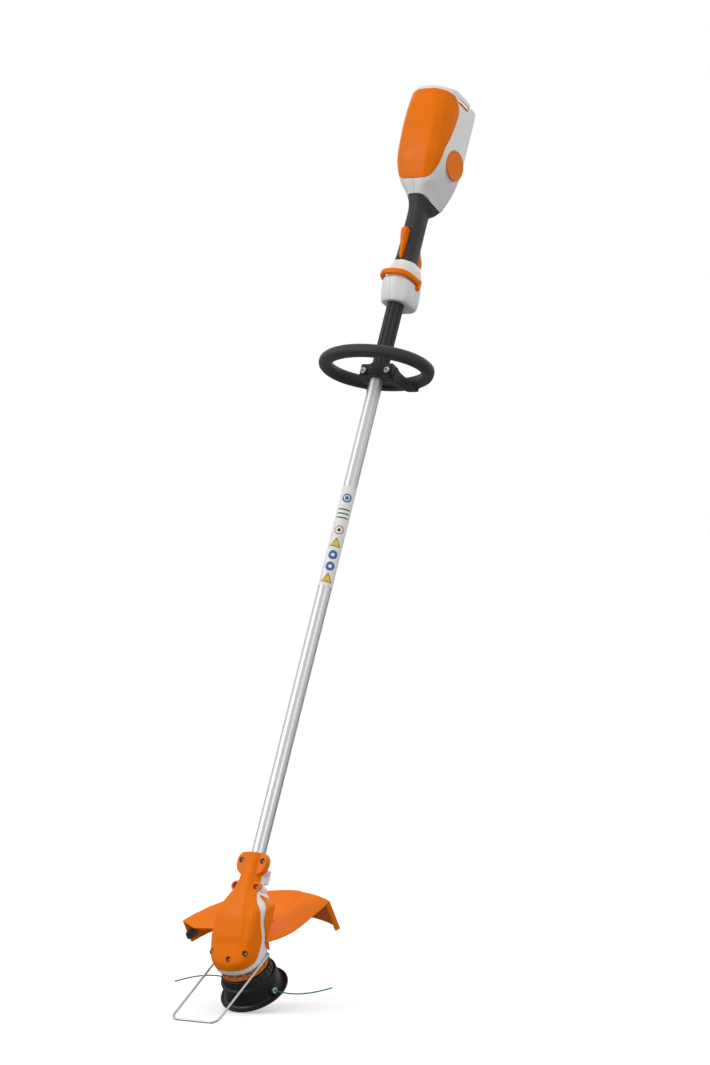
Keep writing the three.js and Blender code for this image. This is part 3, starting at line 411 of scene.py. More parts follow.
def plastic(name, colour, roughness, grain=2600.0, depth=0.12, shine=0.4, mottle=0.05):
    """Moulded plastic: a fine spark texture, faint flow marks and uneven gloss."""
    finish = Finish(name)
    flow = finish.noise(9.0, 3.0)
    fine = finish.noise(grain, 2.0)
    blot = finish.noise(70.0, 4.0)
    toned = finish.mix(finish.ranged(flow, 0, 1), shade(colour, 1 - mottle), shade(colour, 1 + mottle))
    toned = finish.mix(finish.ranged(fine, 0, 0.22), toned, shade(colour, 0.82))
    finish.set(Base_Color=toned, Roughness=finish.ranged(blot, roughness - 0.05, roughness + 0.06))
    finish.set(Specular_IOR_Level=shine)
    finish.relief(fine, depth, 0.00012, edge=0.0007)
    return finish.material


def soft_touch(name, colour):
    """Rubbery grip plastic: dense fine pores and a broad dull gloss."""
    finish = Finish(name)
    pores = finish.node("ShaderNodeTexVoronoi", Vector=finish.coords, Scale=900.0).outputs["Distance"]
    fine = finish.noise(3200.0, 3.0)
    wear = finish.noise(24.0, 4.0)
    toned = finish.mix(finish.ranged(wear, 0, 1), shade(colour, 0.85), shade(colour, 1.25))
    toned = finish.mix(finish.ranged(pores, 0.25, 0, 0.0, 0.35), toned, shade(colour, 0.55))
    finish.set(Base_Color=toned, Roughness=finish.ranged(wear, 0.5, 0.66))
    finish.set(Sheen_Weight=0.12, Sheen_Roughness=0.5)
    finish.relief(finish.math("ADD", pores, fine), 0.25, 0.00015, edge=0.0008)
    return finish.material


def brushed(name, colour, roughness, axis, length=18.0, across=1500.0, edge=0.0004):
    """Metal with fine drawing marks that run along an axis of the row."""
    finish = Finish(name)
    turn = Vector((0, 0, 1)).rotation_difference(Vector(axis)).inverted().to_euler()
    marks = finish.noise(1.0, 3.0, 0.6, finish.stretched(across, across, length, turn))
    smudge = finish.noise(14.0, 4.0)
    toned = finish.mix(finish.ranged(marks, 0, 1), shade(colour, 0.86), shade(colour, 1.08))
    finish.set(Base_Color=toned, Metallic=1.0)
    streaks = finish.ranged(marks, -0.06, 0.06)
    gloss = finish.math("ADD", streaks, finish.ranged(smudge, roughness - 0.04, roughness + 0.05))
    finish.set(Roughness=gloss)
    finish.relief(marks, 0.1, 0.00005, edge)
    return finish.material


def linear(hexed):
    """A colour written as display hex, in linear light."""
    parts = [int(hexed[i:i + 2], 16) / 255 for i in (0, 2, 4)]
    return (*[p / 12.92 if p <= 0.04045 else ((p + 0.055) / 1.055) ** 2.4 for p in parts], 1.0)


# ------------------------------------------------------------------ settings
def length_setting(name, description, default):
    return bpy.props.FloatProperty(
        name=name, description=description, default=default, min=0, unit="LENGTH",
    )


def colour_setting(name, description, hexed):
    return bpy.props.FloatVectorProperty(
        name=name, description=description, default=linear(hexed), size=4, min=0, max=1, subtype="COLOR",
    )


class TrimmerColours(bpy.types.PropertyGroup):
    orange: colour_setting("Orange", "Moulded covers, deflector and triggers", "F97C00")
    white: colour_setting("White", "Housing shells and collar", "F1F1F1")
    black: colour_setting("Black", "Line spool and clamp", "161718")
    grip: colour_setting("Grip", "Handle, loop and sleeve", "242526")
    alloy: colour_setting("Alloy", "The tube", "D6D8DA")
    steel: colour_setting("Steel", "Screws, wire guard and knife", "D4D6D8")
    line: colour_setting("Line", "The cutting line", "2C8F6D")
    copper: colour_setting("Copper", "The motor's windings", "B36B3C")
    board: colour_setting("Board", "The control board", "1F5A38")
    film: colour_setting("Label film", "The film on the tube", "F4F4F0")


class TrimmerSizes(bpy.types.PropertyGroup):
    parting: length_setting("Parting gap", "Gap between two moulded pieces", 0.0006)
    proud: length_setting("Cover step", "How far covers stand out of their shells", 0.0008)
    voxel: length_setting("Mould detail", "Finest detail of the blended mouldings", 0.0012)
    lens: bpy.props.FloatProperty(
        name="Lens", description="Focal length of the camera", default=117.92, min=1,
    )
    distance: length_setting("Camera distance", "From the middle of the view", 6.0)


FINISHES = {}


def make_finishes(colours):
    up_tube = JOINTS["battery_slide"]["axis"]
    spool_axis = JOINTS["spool_spin"]["axis"]
    FINISHES.update(
        orange=plastic("orange_plastic", colours.orange, 0.36, depth=0.05, shine=0.1, mottle=0.03),
        white=plastic("white_plastic", colours.white, 0.38, depth=0.1, mottle=0.02),
        black=plastic("black_plastic", colours.black, 0.42, depth=0.22, mottle=0.15),
        grip=soft_touch("soft_grip", colours.grip),
        alloy=brushed("drawn_alloy", colours.alloy, 0.36, up_tube),
        steel=brushed("drawn_steel", colours.steel, 0.36, spool_axis, length=60.0, across=2200.0),
        cast=plastic("cast_alloy", colours.alloy, 0.5, grain=900.0, depth=0.3),
        blade=brushed(
            "dark_steel", shade(colours.steel, 0.25), 0.35, spool_axis, length=60.0, across=2200.0,
        ),
        copper=brushed("copper_winding", colours.copper, 0.34, (1, 0, 0), length=40.0, across=900.0),
        board=plastic("circuit_board", colours.board, 0.35, depth=0.1),
    )


# ------------------------------------------------------------------ stage
FLOOR_GLOW = 0.38  # lifts the floor to white where nothing shades it
FLOOR_BOUNCE = 0.35  # share of its light that the floor gives back to the object
OBJECT_LIGHT, BACKDROP_LIGHT = 0.78, 1.0
VIEW_TURN, VIEW_DIP = math.radians(34), math.radians(0.389)
VIEW_MIDDLE = Vector((0.14309, 0.09652, 0.8281))  # from the spool's centre


class TRIMMER_OT_stage(bpy.types.Operator):
    """Pale floor, soft studio light and the camera"""

    bl_idname = "trimmer.stage"
    bl_label = "Stage"

    def execute(self, context):
        deselect()
        bpy.ops.mesh.primitive_plane_add(size=120)
        floor = bpy.context.object
        floor.name = "floor"
        finish = Finish("studio_floor")
        mottled = finish.ranged(finish.noise(3.0), 0.79, 0.81)
        seen = finish.node("ShaderNodeLightPath").outputs["Is Camera Ray"]
        bounced = finish.math("ADD", finish.math("MULTIPLY", seen, 1 - FLOOR_BOUNCE), FLOOR_BOUNCE)
        grey = finish.math("MULTIPLY", mottled, bounced)
        tone = finish.node("ShaderNodeCombineColor", Red=grey, Green=grey, Blue=grey)
        finish.set(Base_Color=tone.outputs["Color"], Roughness=0.8, Specular_IOR_Level=0.0)
        glow = finish.math("MULTIPLY", seen, FLOOR_GLOW)
        finish.set(Emission_Color=(1, 1, 1, 1), Emission_Strength=glow)
        floor.data.materials.append(finish.material)
        self.surround(context)
        context.scene.view_settings.view_transform = "Standard"
        self.lamp("key", (-2.6, -3.6, 3.4), (0, 0, 0.8), 1.4, 62)
        self.lamp("side", (3.6, -1.8, 2.2), (0, 0, 0.9), 1.2, 10)
        self.lamp("rear", (0.6, 3.6, 3.0), (0, 0, 0.9), 2.0, 30)
        self.camera(context)
        return {"FINISHED"}

    def surround(self, context):
        """White to the camera, and a dimmer even light for the object."""
        world = bpy.data.worlds.new("studio")
        world.use_nodes = True
        tree = world.node_tree
        light = tree.nodes["Background"]
        light.inputs["Color"].default_value = (1, 1, 1, 1)
        light.inputs["Strength"].default_value = OBJECT_LIGHT
        backdrop = tree.nodes.new("ShaderNodeBackground")
        backdrop.inputs["Color"].default_value = (1, 1, 1, 1)
        backdrop.inputs["Strength"].default_value = BACKDROP_LIGHT
        chosen = tree.nodes.new("ShaderNodeMixShader")
        path = tree.nodes.new("ShaderNodeLightPath")
        tree.links.new(path.outputs["Is Camera Ray"], chosen.inputs[0])
        tree.links.new(light.outputs[0], chosen.inputs[1])
        tree.links.new(backdrop.outputs[0], chosen.inputs[2])
        tree.links.new(chosen.outputs[0], tree.nodes["World Output"].inputs["Surface"])
        context.scene.world = world

    def lamp(self, name, place, target, size, power):
        light = bpy.data.lights.new(name, "AREA")
        light.shape = "DISK"
        light.size = size
        light.energy = power
        lamp = bpy.data.objects.new(name, light)
        lamp.location = place
        lamp.rotation_euler = (Vector(target) - Vector(place)).to_track_quat("-Z", "Y").to_euler()
        bpy.context.collection.objects.link(lamp)

    def camera(self, context):
        sizes = context.scene.trimmer_sizes
        data = bpy.data.cameras.new("camera")
        data.lens = sizes.lens
        data.sensor_width = 36
        data.clip_end = 200
        camera = bpy.data.objects.new("camera", data)
        camera.rotation_euler = (math.pi / 2 - VIEW_DIP, 0, VIEW_TURN)
        # the view's middle: beside the tube's foot, at the height of the loop handle
        middle = Vector(JOINTS["spool_spin"]["pos_m"]) + VIEW_MIDDLE
        back = Vector((math.sin(VIEW_TURN), -math.cos(VIEW_TURN), 0))
        camera.location = middle + sizes.distance * back
        context.collection.objects.link(camera)
        context.scene.camera = camera


# ------------------------------------------------------------------ cutting line
LINE_R = 1.2
# The two free ends of the line in the head frame: the second is the first turned half round.
LINE_POINTS = [
    (53.3, -10.36), (60.8, -11.7), (68.5, -12.8), (76.2, -13.5), (84, -13.9), (91.8, -13.8), (99.5, -13.2),
    (107.3, -12.1), (115, -10.4), (122.7, -8.2), (130.3, -5.4), (137.9, -2.1), (145.4, 1.7), (152.9, 5.9),
    (160.4, 10.6),
]


class TRIMMER_OT_cutting_line(bpy.types.Operator):
    """The two free ends of the cutting line"""

    bl_idname = "trimmer.cutting_line"
    bl_label = "Cutting line"

    def execute(self, context):
        finish = Finish("line_nylon")
        twist = finish.noise(700.0, 3.0)
        colour = context.scene.trimmer_colours.line
        toned = finish.mix(finish.ranged(twist, 0, 1), shade(colour, 0.8), shade(colour, 1.25))
        finish.set(Base_Color=toned, Roughness=finish.ranged(twist, 0.3, 0.5), Transmission_Weight=0.15)
        finish.relief(twist, 0.3, 0.0001)
        FINISHES["line"] = finish.material
        for i, side in enumerate((1, -1)):
            path = [HEAD @ Vector((side * x, side * y, EYELET_H)) for x, y in LINE_POINTS]
            data = bpy.data.curves.new(f"line_end_{i + 1}", "CURVE")
            data.dimensions = "3D"
            data.bevel_depth = LINE_R * MM
            data.bevel_resolution = 4
            data.use_fill_caps = True
            spline = data.splines.new("POLY")
            spline.points.add(len(path) - 1)
            for point, place in zip(spline.points, path):
                point.co = (*place, 1)
            data.materials.append(finish.material)
            cord = bpy.data.objects.new(f"line_end_{i + 1}", data)
            context.collection.objects.link(cord)
            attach(cord, "spool")
            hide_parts(f"cutting_line_{i + 1}")
        return {"FINISHED"}


# ------------------------------------------------------------------ tube and label
TUBE_R = 12.5
TUBE_SPAN = (125, 1345)
LABEL_SPAN = (715, 908)
BAND_WIDE, TRIANGLE_SLOPE = 11.0, 1.732
MARKS_TURN = math.radians(34)
MARKS = [  # kind, place up the film, size, colour
    ("triangle", 14, 11.5, "1A1A1A"), ("triangle", 14, 9.0, "F4C400"), ("disc", 38, 8.5, "1F5FA8"),
    ("disc", 38, 3.2, "F4F4F0"), ("disc", 60, 8.5, "1F5FA8"), ("disc", 60, 3.2, "F4F4F0"),
    ("triangle", 82, 11.5, "1A1A1A"), ("triangle", 82, 9.0, "F4C400"), ("disc", 108, 8.5, "C22A22"),
    ("disc", 108, 6.6, "F4F4F0"), ("disc", 108, 3.0, "1A1A1A"), ("band", 132, 1.2, "1A1A1A"),
    ("band", 140, 1.2, "1A1A1A"), ("band", 148, 1.2, "1A1A1A"), ("disc", 170, 8.5, "1F5FA8"),
    ("disc", 170, 5.5, "F4F4F0"), ("disc", 170, 3.6, "1F5FA8"),
]


class TRIMMER_OT_tube(bpy.types.Operator):
    """The drawn tube and its printed film"""

    bl_idname = "trimmer.tube"
    bl_label = "Tube and label"

    def execute(self, context):
        low, high = TUBE_SPAN
        bore = TUBE_R - 1.5
        tube = turned([(bore, low), (TUBE_R - 0.4, low), (TUBE_R, low + 0.4), (TUBE_R, high - 0.4),
                       (TUBE_R - 0.4, high), (bore, high)])
        settled(tube, "tube", SHAFT, "alloy", "tool", "alloy", "shaft_tube")
        low, high = LABEL_SPAN
        inner, outer = TUBE_R + 0.3, TUBE_R + 0.45
        label = turned([(inner, low), (outer, low), (outer, high), (inner, high)])
        FINISHES["film"] = self.film(context)
        settled(label, "label", SHAFT, "film", "tool", "label_film", "tube_label")
        return {"FINISHED"}

    def film(self, context):
        """White film with plain coloured marks down its front."""
        finish = Finish("label_film")
        low = LABEL_SPAN[0]
        # millimetres round the tube from its front, and up the film
        inverse = SHAFT.inverted()
        mapping = finish.node("ShaderNodeMapping", Vector=finish.coords)
        mapping.inputs["Rotation"].default_value = inverse.to_euler()
        mapping.inputs["Scale"].default_value = inverse.to_scale()
        mapping.inputs["Location"].default_value = inverse.translation
        parts = finish.node("ShaderNodeSeparateXYZ", Vector=mapping.outputs["Vector"])
        x, y, z = (parts.outputs[k] for k in range(3))
        angle = finish.math("ARCTAN2", x, finish.math("MULTIPLY", y, -1.0))
        round_by = finish.math("MULTIPLY", angle, TUBE_R)
        round_by = finish.math("SUBTRACT", round_by, MARKS_TURN * TUBE_R)
        colour = context.scene.trimmer_colours.film
        shown = finish.mix(finish.ranged(finish.noise(60.0), 0, 1), shade(colour, 0.95), shade(colour, 1.0))
        for kind, at, size, hexed in MARKS:
            up = finish.math("SUBTRACT", z, low + at)
            inside = getattr(self, kind)(finish, round_by, up, size)
            shown = finish.mix(inside, shown, linear(hexed))
        finish.set(Base_Color=shown, Roughness=0.3, Coat_Weight=0.4, Coat_Roughness=0.1)
        finish.relief(finish.noise(1800.0), 0.05, 0.0001)
        return finish.material

    def disc(self, finish, across, up, size):
        squares = finish.math("ADD", finish.math("POWER", across, 2.0), finish.math("POWER", up, 2.0))
        return finish.math("LESS_THAN", squares, size * size)

    def triangle(self, finish, across, up, size):
        out = finish.math("MULTIPLY", finish.math("ABSOLUTE", across), TRIANGLE_SLOPE)
        slope = finish.math("ADD", out, up)
        inside = finish.math("LESS_THAN", slope, size)
        return finish.math("MULTIPLY", inside, finish.math("GREATER_THAN", up, -size * 0.55))

    def band(self, finish, across, up, size):
        inside = finish.math("LESS_THAN", finish.math("ABSOLUTE", up), size)
        narrow = finish.math("LESS_THAN", finish.math("ABSOLUTE", across), BAND_WIDE)
        return finish.math("MULTIPLY", inside, narrow)


# ------------------------------------------------------------------ screws
def star_screw(head_r, head_t, shank_r, length):
    """A domed screw with a six-lobed socket. Its head's seat is at z 0 and its shank goes down."""
    crown = head_t * 0.35
    profile = [
        (0, head_t), (head_r * 0.6, head_t - crown * 0.25), (head_r * 0.9, head_t - crown),
        (head_r, head_t - crown - 0.4), (head_r, 0), (shank_r, 0), (shank_r, 1 - length), (0, -length),
    ]
    screw = turned(profile, 32)
    star = []
    for i, angle in enumerate(turns(12)):
        reach = head_r * (0.52 if i % 2 else 0.4)
        star.append((reach * math.cos(angle), reach * math.sin(angle)))
    return joined(screw, plate(star, head_t * 0.4, head_t + 1))


def screw_at(seat, towards, name, body, finish="steel", **sizes):
    """A screw whose head sits at a point, with its shank towards another."""
    screw = star_screw(**sizes)
    away = Vector(seat) * 2 - Vector(towards)
    aimed(screw, seat, away)
    return settled(screw, name, SHAFT, finish, body, "steel", name)


# ------------------------------------------------------------------ loop handle and clamp
LOOP_Z, LOOP_A, LOOP_B, LOOP_FORWARD, LOOP_BAR = 1143.5, 103, 71, 10, 12.5
CLAMP_LOW, CLAMP_HIGH, CLAMP_X, CLAMP_FRONT = 1123, 1151, 25.5, 17
CLAMP_MID = (CLAMP_LOW + CLAMP_HIGH) / 2
LOOP_HOLES = (215, 240, 300, 325)  # degrees round the ring, of the small holes under it
NUT_R = 5.8


class TRIMMER_OT_loop_handle(bpy.types.Operator):
    """The loop handle with its clamp and two screws"""

    bl_idname = "trimmer.loop_handle"
    bl_label = "Loop handle"

    def execute(self, context):
        voxel = context.scene.trimmer_sizes.voxel / MM
        loop = skin([*self.bar_rows(), self.bar_rows()[0]])
        tidy_mesh(loop, fill=False)
        face_out(loop)
        for side in (1, -1):
            joined(loop, self.leg(side), "UNION")
        wing = CLAMP_X + 8.5
        base = plate(rounded(both_sides([(19, 19, 5), (wing, 12, 3), (wing, 1, 1)])), CLAMP_LOW, CLAMP_HIGH)
        joined(loop, base, "UNION")
        moulded(loop, voxel, 5)
        joined(loop, rod(TUBE_R + 0.3, (0, 0, 1100), (0, 0, 1180), 96))
        joined(loop, block(-60, 60, -30, 0.3, CLAMP_LOW - 3, CLAMP_HIGH + 4))
        for side in (1, -1):
            x = side * CLAMP_X
            joined(loop, rod(3.3, (x, -5, CLAMP_MID), (x, 30, CLAMP_MID)))
            joined(loop, rod(6.3, (x, 9, CLAMP_MID), (x, 45, CLAMP_MID), 6))
        for turn in LOOP_HOLES:
            angle = math.radians(turn)
            x, y = LOOP_A * math.cos(angle), LOOP_B * math.sin(angle) - LOOP_FORWARD
            foot = LOOP_Z - LOOP_BAR
            joined(loop, rod(1.1, (x, y, foot - 2), (x, y, foot + 1.2), 12))
        settled(loop, "loop_bar", SHAFT, "grip", "loop", "soft_grip", "loop_handle", smooth=50)
        self.cap(wing)
        for i, side in enumerate((1, -1)):
            x = side * CLAMP_X
            screw_at((x, -CLAMP_FRONT + 5, CLAMP_MID), (x, 20, CLAMP_MID), f"clamp_screw_{i + 1}", "loop",
                     head_r=6, head_t=4.5, shank_r=3, length=26)
            hexagon = [(x + NUT_R * math.cos(a), CLAMP_MID + NUT_R * math.sin(a)) for a in turns(6)]
            nut = plate(hexagon, 9.3, 14, "y")
            joined(nut, rod(3.2, (x, 0, CLAMP_MID), (x, 20, CLAMP_MID), 24))
            softened(nut, 0.4, 2)
            settled(nut, f"clamp_nut_{i + 1}", SHAFT, "steel", "loop", "steel", f"clamp_nut_{i + 1}")
        return {"FINISHED"}

    def bar_rows(self):
        """Round in front, narrower with a flat foot at the rear, where the legs come in."""
        rows = []
        for angle in turns(120):
            rear = max(math.sin(angle), 0) ** 1.5
            out = Vector((math.cos(angle) / LOOP_A, math.sin(angle) / LOOP_B)).normalized()
            centre = Vector((LOOP_A * math.cos(angle), LOOP_B * math.sin(angle) - LOOP_FORWARD))
            row = []
            for turn in [*turns(32), 0]:
                side, up = math.cos(turn), math.sin(turn)
                squared = 2 / (2.1 + 1.6 * rear)
                side = math.copysign(abs(side) ** squared, side) * LOOP_BAR * (1 - 0.34 * rear)
                up = math.copysign(abs(up) ** squared, up) * LOOP_BAR * (0.96 - 0.04 * rear)
                row.append((*(centre + out * side), LOOP_Z + up))
            rows.append(row)
        return rows

    def leg(self, side):
        """A wide web from the clamp back to the ring, thinner towards its middle."""
        rows = []
        stations = [(0, 25, 9, 9, 26), (1, 27, 24, 8, 23), (2, 33, 42, 9, 20), (3, 47, 55, 12, 19)]
        low = CLAMP_LOW + 1
        for t in spread(0, 3, 13):
            x, y, half, tall = eased(stations, t)
            half_corners = [(x - half, low, 2.5), (x + half, low, 2.5), (x + half, low + tall, 2.5),
                            (x - half, low + tall, 2.5)]
            rows.append([(side * a, y, b) for a, b in rounded(half_corners, 2)])
        return loft(rows)

    def cap(self, wing):
        front = CLAMP_FRONT
        outline = rounded(both_sides([(9, -front, 3), (14, -front + 4, 2), (17, -front + 5.5, 1.5),
                                      (wing, -front + 5, 3), (wing, -0.3, 0.5)]))
        cap = plate(outline, CLAMP_LOW, CLAMP_HIGH)
        softened(cap, 1.6, 3, 50)
        joined(cap, rod(TUBE_R + 0.3, (0, 0, 1100), (0, 0, 1180), 96))
        for side in (1, -1):
            x = side * CLAMP_X
            joined(cap, rod(3.3, (x, -40, CLAMP_MID), (x, 5, CLAMP_MID)))
        for z in (CLAMP_LOW + 5, CLAMP_HIGH - 6):
            joined(cap, block(-7, 7, -30, -front + 1.0, z, z + 1))
        settled(cap, "clamp_front", SHAFT, "black", "loop", "black_plastic", "clamp_cap")


# ------------------------------------------------------------------ sleeve, collar and bail
SLEEVE_SPAN, SLEEVE_R = (1152, 1292), 15.5
COLLAR_LOW, COLLAR_STEP, COLLAR_HIGH = 1276, 1317, 1357
BAIL_Z, BAIL_X, BAIL_REACH, BAIL_THICK, BAIL_TALL = 1325, 30, 40, 4, 5.5
BAIL_PIVOT, BAIL_PIN_R = (12, 1315), 3


GROOVE = [  # share of a groove's pitch, depth
    (-0.5, 0), (-0.36, 0.05), (-0.2, 0.35), (-0.13, 1.0), (-0.09, 2.3), (0.09, 2.3), (0.13, 1.0), (0.2, 0.35),
    (0.36, 0.05),
]


class TRIMMER_OT_sleeve(bpy.types.Operator):
    """The grooved sleeve over the tube"""

    bl_idname = "trimmer.sleeve"
    bl_label = "Sleeve"

    def execute(self, context):
        low, high = SLEEVE_SPAN
        grooves = 10
        outline = []
        for i in range(grooves):
            middle = 2 * math.pi * (i + 0.5) / grooves
            for step, depth in GROOVE:
                angle = middle + step * 2 * math.pi / grooves
                outline.append(((SLEEVE_R - depth) * math.cos(angle), (SLEEVE_R - depth) * math.sin(angle)))
        rows = []
        for z, shrink in ((low, 1.2), (low + 0.6, 0.3), (low + 1.6, 0), (high - 1.6, 0), (high, 0)):
            rows.append([(x * (1 - shrink / SLEEVE_R), y * (1 - shrink / SLEEVE_R), z) for x, y in outline])
        sleeve = loft(rows)
        joined(sleeve, rod(TUBE_R + 0.25, (0, 0, low - 5), (0, 0, high + 5), 96))
        settled(sleeve, "sleeve", SHAFT, "grip", "tool", "soft_grip", "grip_sleeve", smooth=30)
        return {"FINISHED"}


# z, front, rear, half width, width of the front facet, where the side starts, corner radius
COLLAR_STATIONS = [
    (COLLAR_LOW, 22.5, 37.5, 24, 9, 10), (COLLAR_LOW + 1, 23.5, 38.5, 26, 9.5, 11),
    (COLLAR_LOW + 4, 25, 39.5, 28, 10, 12), (COLLAR_LOW + 14, 29, 40, 29.5, 11, 14),
    (COLLAR_STEP - 6, 36, 38, 29.5, 12, 19),
    (COLLAR_STEP - 1.5, 36.5, 38, 29.5, 12, 19), (COLLAR_STEP - 0.3, 35.8, 37.5, 28.8, 12, 18.5),
    (COLLAR_STEP + 0.7, 31, 35, 25, 11, 15), (COLLAR_HIGH - 19, 30, 34, 25, 11, 15),
    (COLLAR_HIGH - 10, 28, 31.5, 24.3, 10, 13), (COLLAR_HIGH - 3, 25, 28, 22.8, 9, 11),
    (COLLAR_HIGH, 24, 27, 22, 8, 10),
]


def faceted_row(z, front, rear, width, facet, side, radius, steps=4):
    """One section with a flat front facet, chamfers and flat sides."""
    half = [(facet, -front, radius), (width, -side, radius), (width, rear - width * 0.35, radius),
            (width * 0.6, rear, radius)]
    return [(x, y, z) for x, y in rounded(both_sides(half), steps)]


def halves(piece, gap, names, finish, slot, nodes, smooth=35):
    """Cuts a piece at the middle plane and settles both sides."""
    for side, name, node in zip((-1, 1), names, nodes):
        part = copied(piece)
        far, near = -400 * side, side * gap / 2
        joined(part, block(min(far, near), max(far, near), -400, 400, -100, 2100))
        settled(part, name, SHAFT, finish, "tool", slot, node, smooth=smooth)
    bpy.data.objects.remove(piece, do_unlink=True)


class TRIMMER_OT_collar(bpy.types.Operator):
    """The white collar below the grip, in two halves"""

    bl_idname = "trimmer.collar"
    bl_label = "Collar"

    def execute(self, context):
        rows = []
        for z, front, rear, width, facet, side in COLLAR_STATIONS:
            rows.append(faceted_row(z, front, rear, width, facet, side, 7))
        body = loft(rows)
        inner = [faceted_row(z, f - 3, r - 3, w - 3, c, s - 2, 6) for z, f, r, w, c, s in COLLAR_STATIONS[3:]]
        inner[2:5] = [faceted_row(COLLAR_STEP - 3, 28, 32, 22, 10, 12, 6)]
        inner.insert(0, faceted_row(COLLAR_LOW + 6, 22.5, 34, 23, 8, 9, 6))
        inner[-1] = faceted_row(COLLAR_HIGH + 2, 20.5, 23.5, 19, 7, 8, 6)
        joined(body, loft(inner))
        y, z = BAIL_PIVOT
        slot = BAIL_X - BAIL_THICK - 0.5
        joined(body, block(-slot - 1.5, slot + 1.5, y - 9, y + 9, z - 10, COLLAR_STEP - 1), "UNION")
        joined(body, rod(SLEEVE_R + 0.5, (0, 0, COLLAR_LOW - 5), (0, 0, SLEEVE_SPAN[1] + 0.3), 64))
        joined(body, rod(TUBE_R + 0.5, (0, 0, COLLAR_LOW - 5), (0, 0, COLLAR_HIGH + 5), 64))
        leg_room = rounded([(y - 7, z - 7, 5), (y + 7, z - 7, 5), (y + 7, BAIL_Z, 1), (y - 7, BAIL_Z, 1)])
        slit = [(y - 0.6, z - 31), (y + 0.6, z - 31), (y + 0.6, z - 10), (y - 0.6, z - 10)]
        for side in (1, -1):
            joined(body, plate(leg_room, side * slot, side * 60, "x"))
            joined(body, rod(BAIL_PIN_R + 0.6, (side * (slot - 8), y, z), (side * 60, y, z), 40))
            joined(body, plate(slit, side * 28.2, side * 40, "x"))
        gap = context.scene.trimmer_sizes.parting / MM
        halves(body, gap, ("collar_half_left", "collar_half_right"), "white", "white_plastic",
               ("collar_left", "collar_right"))
        return {"FINISHED"}


class TRIMMER_OT_bail(bpy.types.Operator):
    """The orange bail that swings round the collar"""

    bl_idname = "trimmer.bail"
    bl_label = "Bail"

    def execute(self, context):
        spots = [(-BAIL_X, BAIL_PIVOT[0])]
        for angle in spread(0, math.pi, 33):
            wide, deep = math.cos(angle), math.sin(angle)
            across = math.copysign(abs(wide) ** 0.75, wide)
            spots.append((-BAIL_X * across, -BAIL_REACH * abs(deep) ** 0.75))
        spots.append((BAIL_X, BAIL_PIVOT[0]))
        path = [(x, y, BAIL_Z) for x, y in curve_through(spots, 120)]
        outline = [
            (BAIL_THICK * math.copysign(abs(a) ** 0.6, a), BAIL_TALL * math.copysign(abs(b) ** 0.6, b))
            for a, b in circle(1, 24)
        ]
        bail = loft(tube_along(path, outline))
        y, z = BAIL_PIVOT
        low, high = z - 4.5, BAIL_Z + BAIL_TALL
        leg = [(y - 4, low, 3.5), (y + 4, low, 3.5), (y + 4, high, 3), (y - 4, high, 1)]
        inner, outer = BAIL_X - BAIL_THICK, BAIL_X + BAIL_THICK
        for side in (1, -1):
            joined(bail, plate(rounded(leg), side * inner, side * outer, "x"), "UNION")
        moulded(bail, 0.8, 2)
        for side in (1, -1):
            pin = rod(BAIL_PIN_R, (side * (inner - 6), y, z), (side * (inner + 1), y, z), 32)
            joined(bail, pin, "UNION")
        settled(bail, "bail_bow", SHAFT, "orange", "bail", "orange_plastic", "carry_bail", smooth=50)
        return {"FINISHED"}


# ------------------------------------------------------------------ grip, lever and trigger
HANDLE_HIGH = 1486
GRIP_STATIONS = [  # z, front, rear, half width
    (COLLAR_HIGH + 0.3, 22, 23, 20), (1372, 20, 21, 18.5), (1400, 19.3, 20.3, 18), (1440, 19, 20, 18),
    (1458, 19.2, 20.3, 17.8), (1465, 20, 22.5, 18), (HANDLE_HIGH - 6, 25.5, 42, 21),
    (HANDLE_HIGH, 28, 50, 22.5),
]
SADDLE = [(-28, 5.5), (-14, 3), (8, -8), (30, -4), (51, 6)]  # y, height over the seam's middle


def saddle(y, share):
    """Lifts a row near the seam between grip and housing, which dips at the sides."""
    return eased(SADDLE, y)[0] * share * share * (3 - 2 * share)


def oval_row(z, front, rear, width, power, sides=72, lift=None):
    row = []
    for angle in turns(sides):
        a, b = math.cos(angle), math.sin(angle)
        a = math.copysign(abs(a) ** (2 / power), a)
        b = math.copysign(abs(b) ** (2 / power), b)
        y = (rear - front) / 2 - b * (rear + front) / 2
        row.append((width * a, y, z + (lift(y) if lift else 0)))
    return row


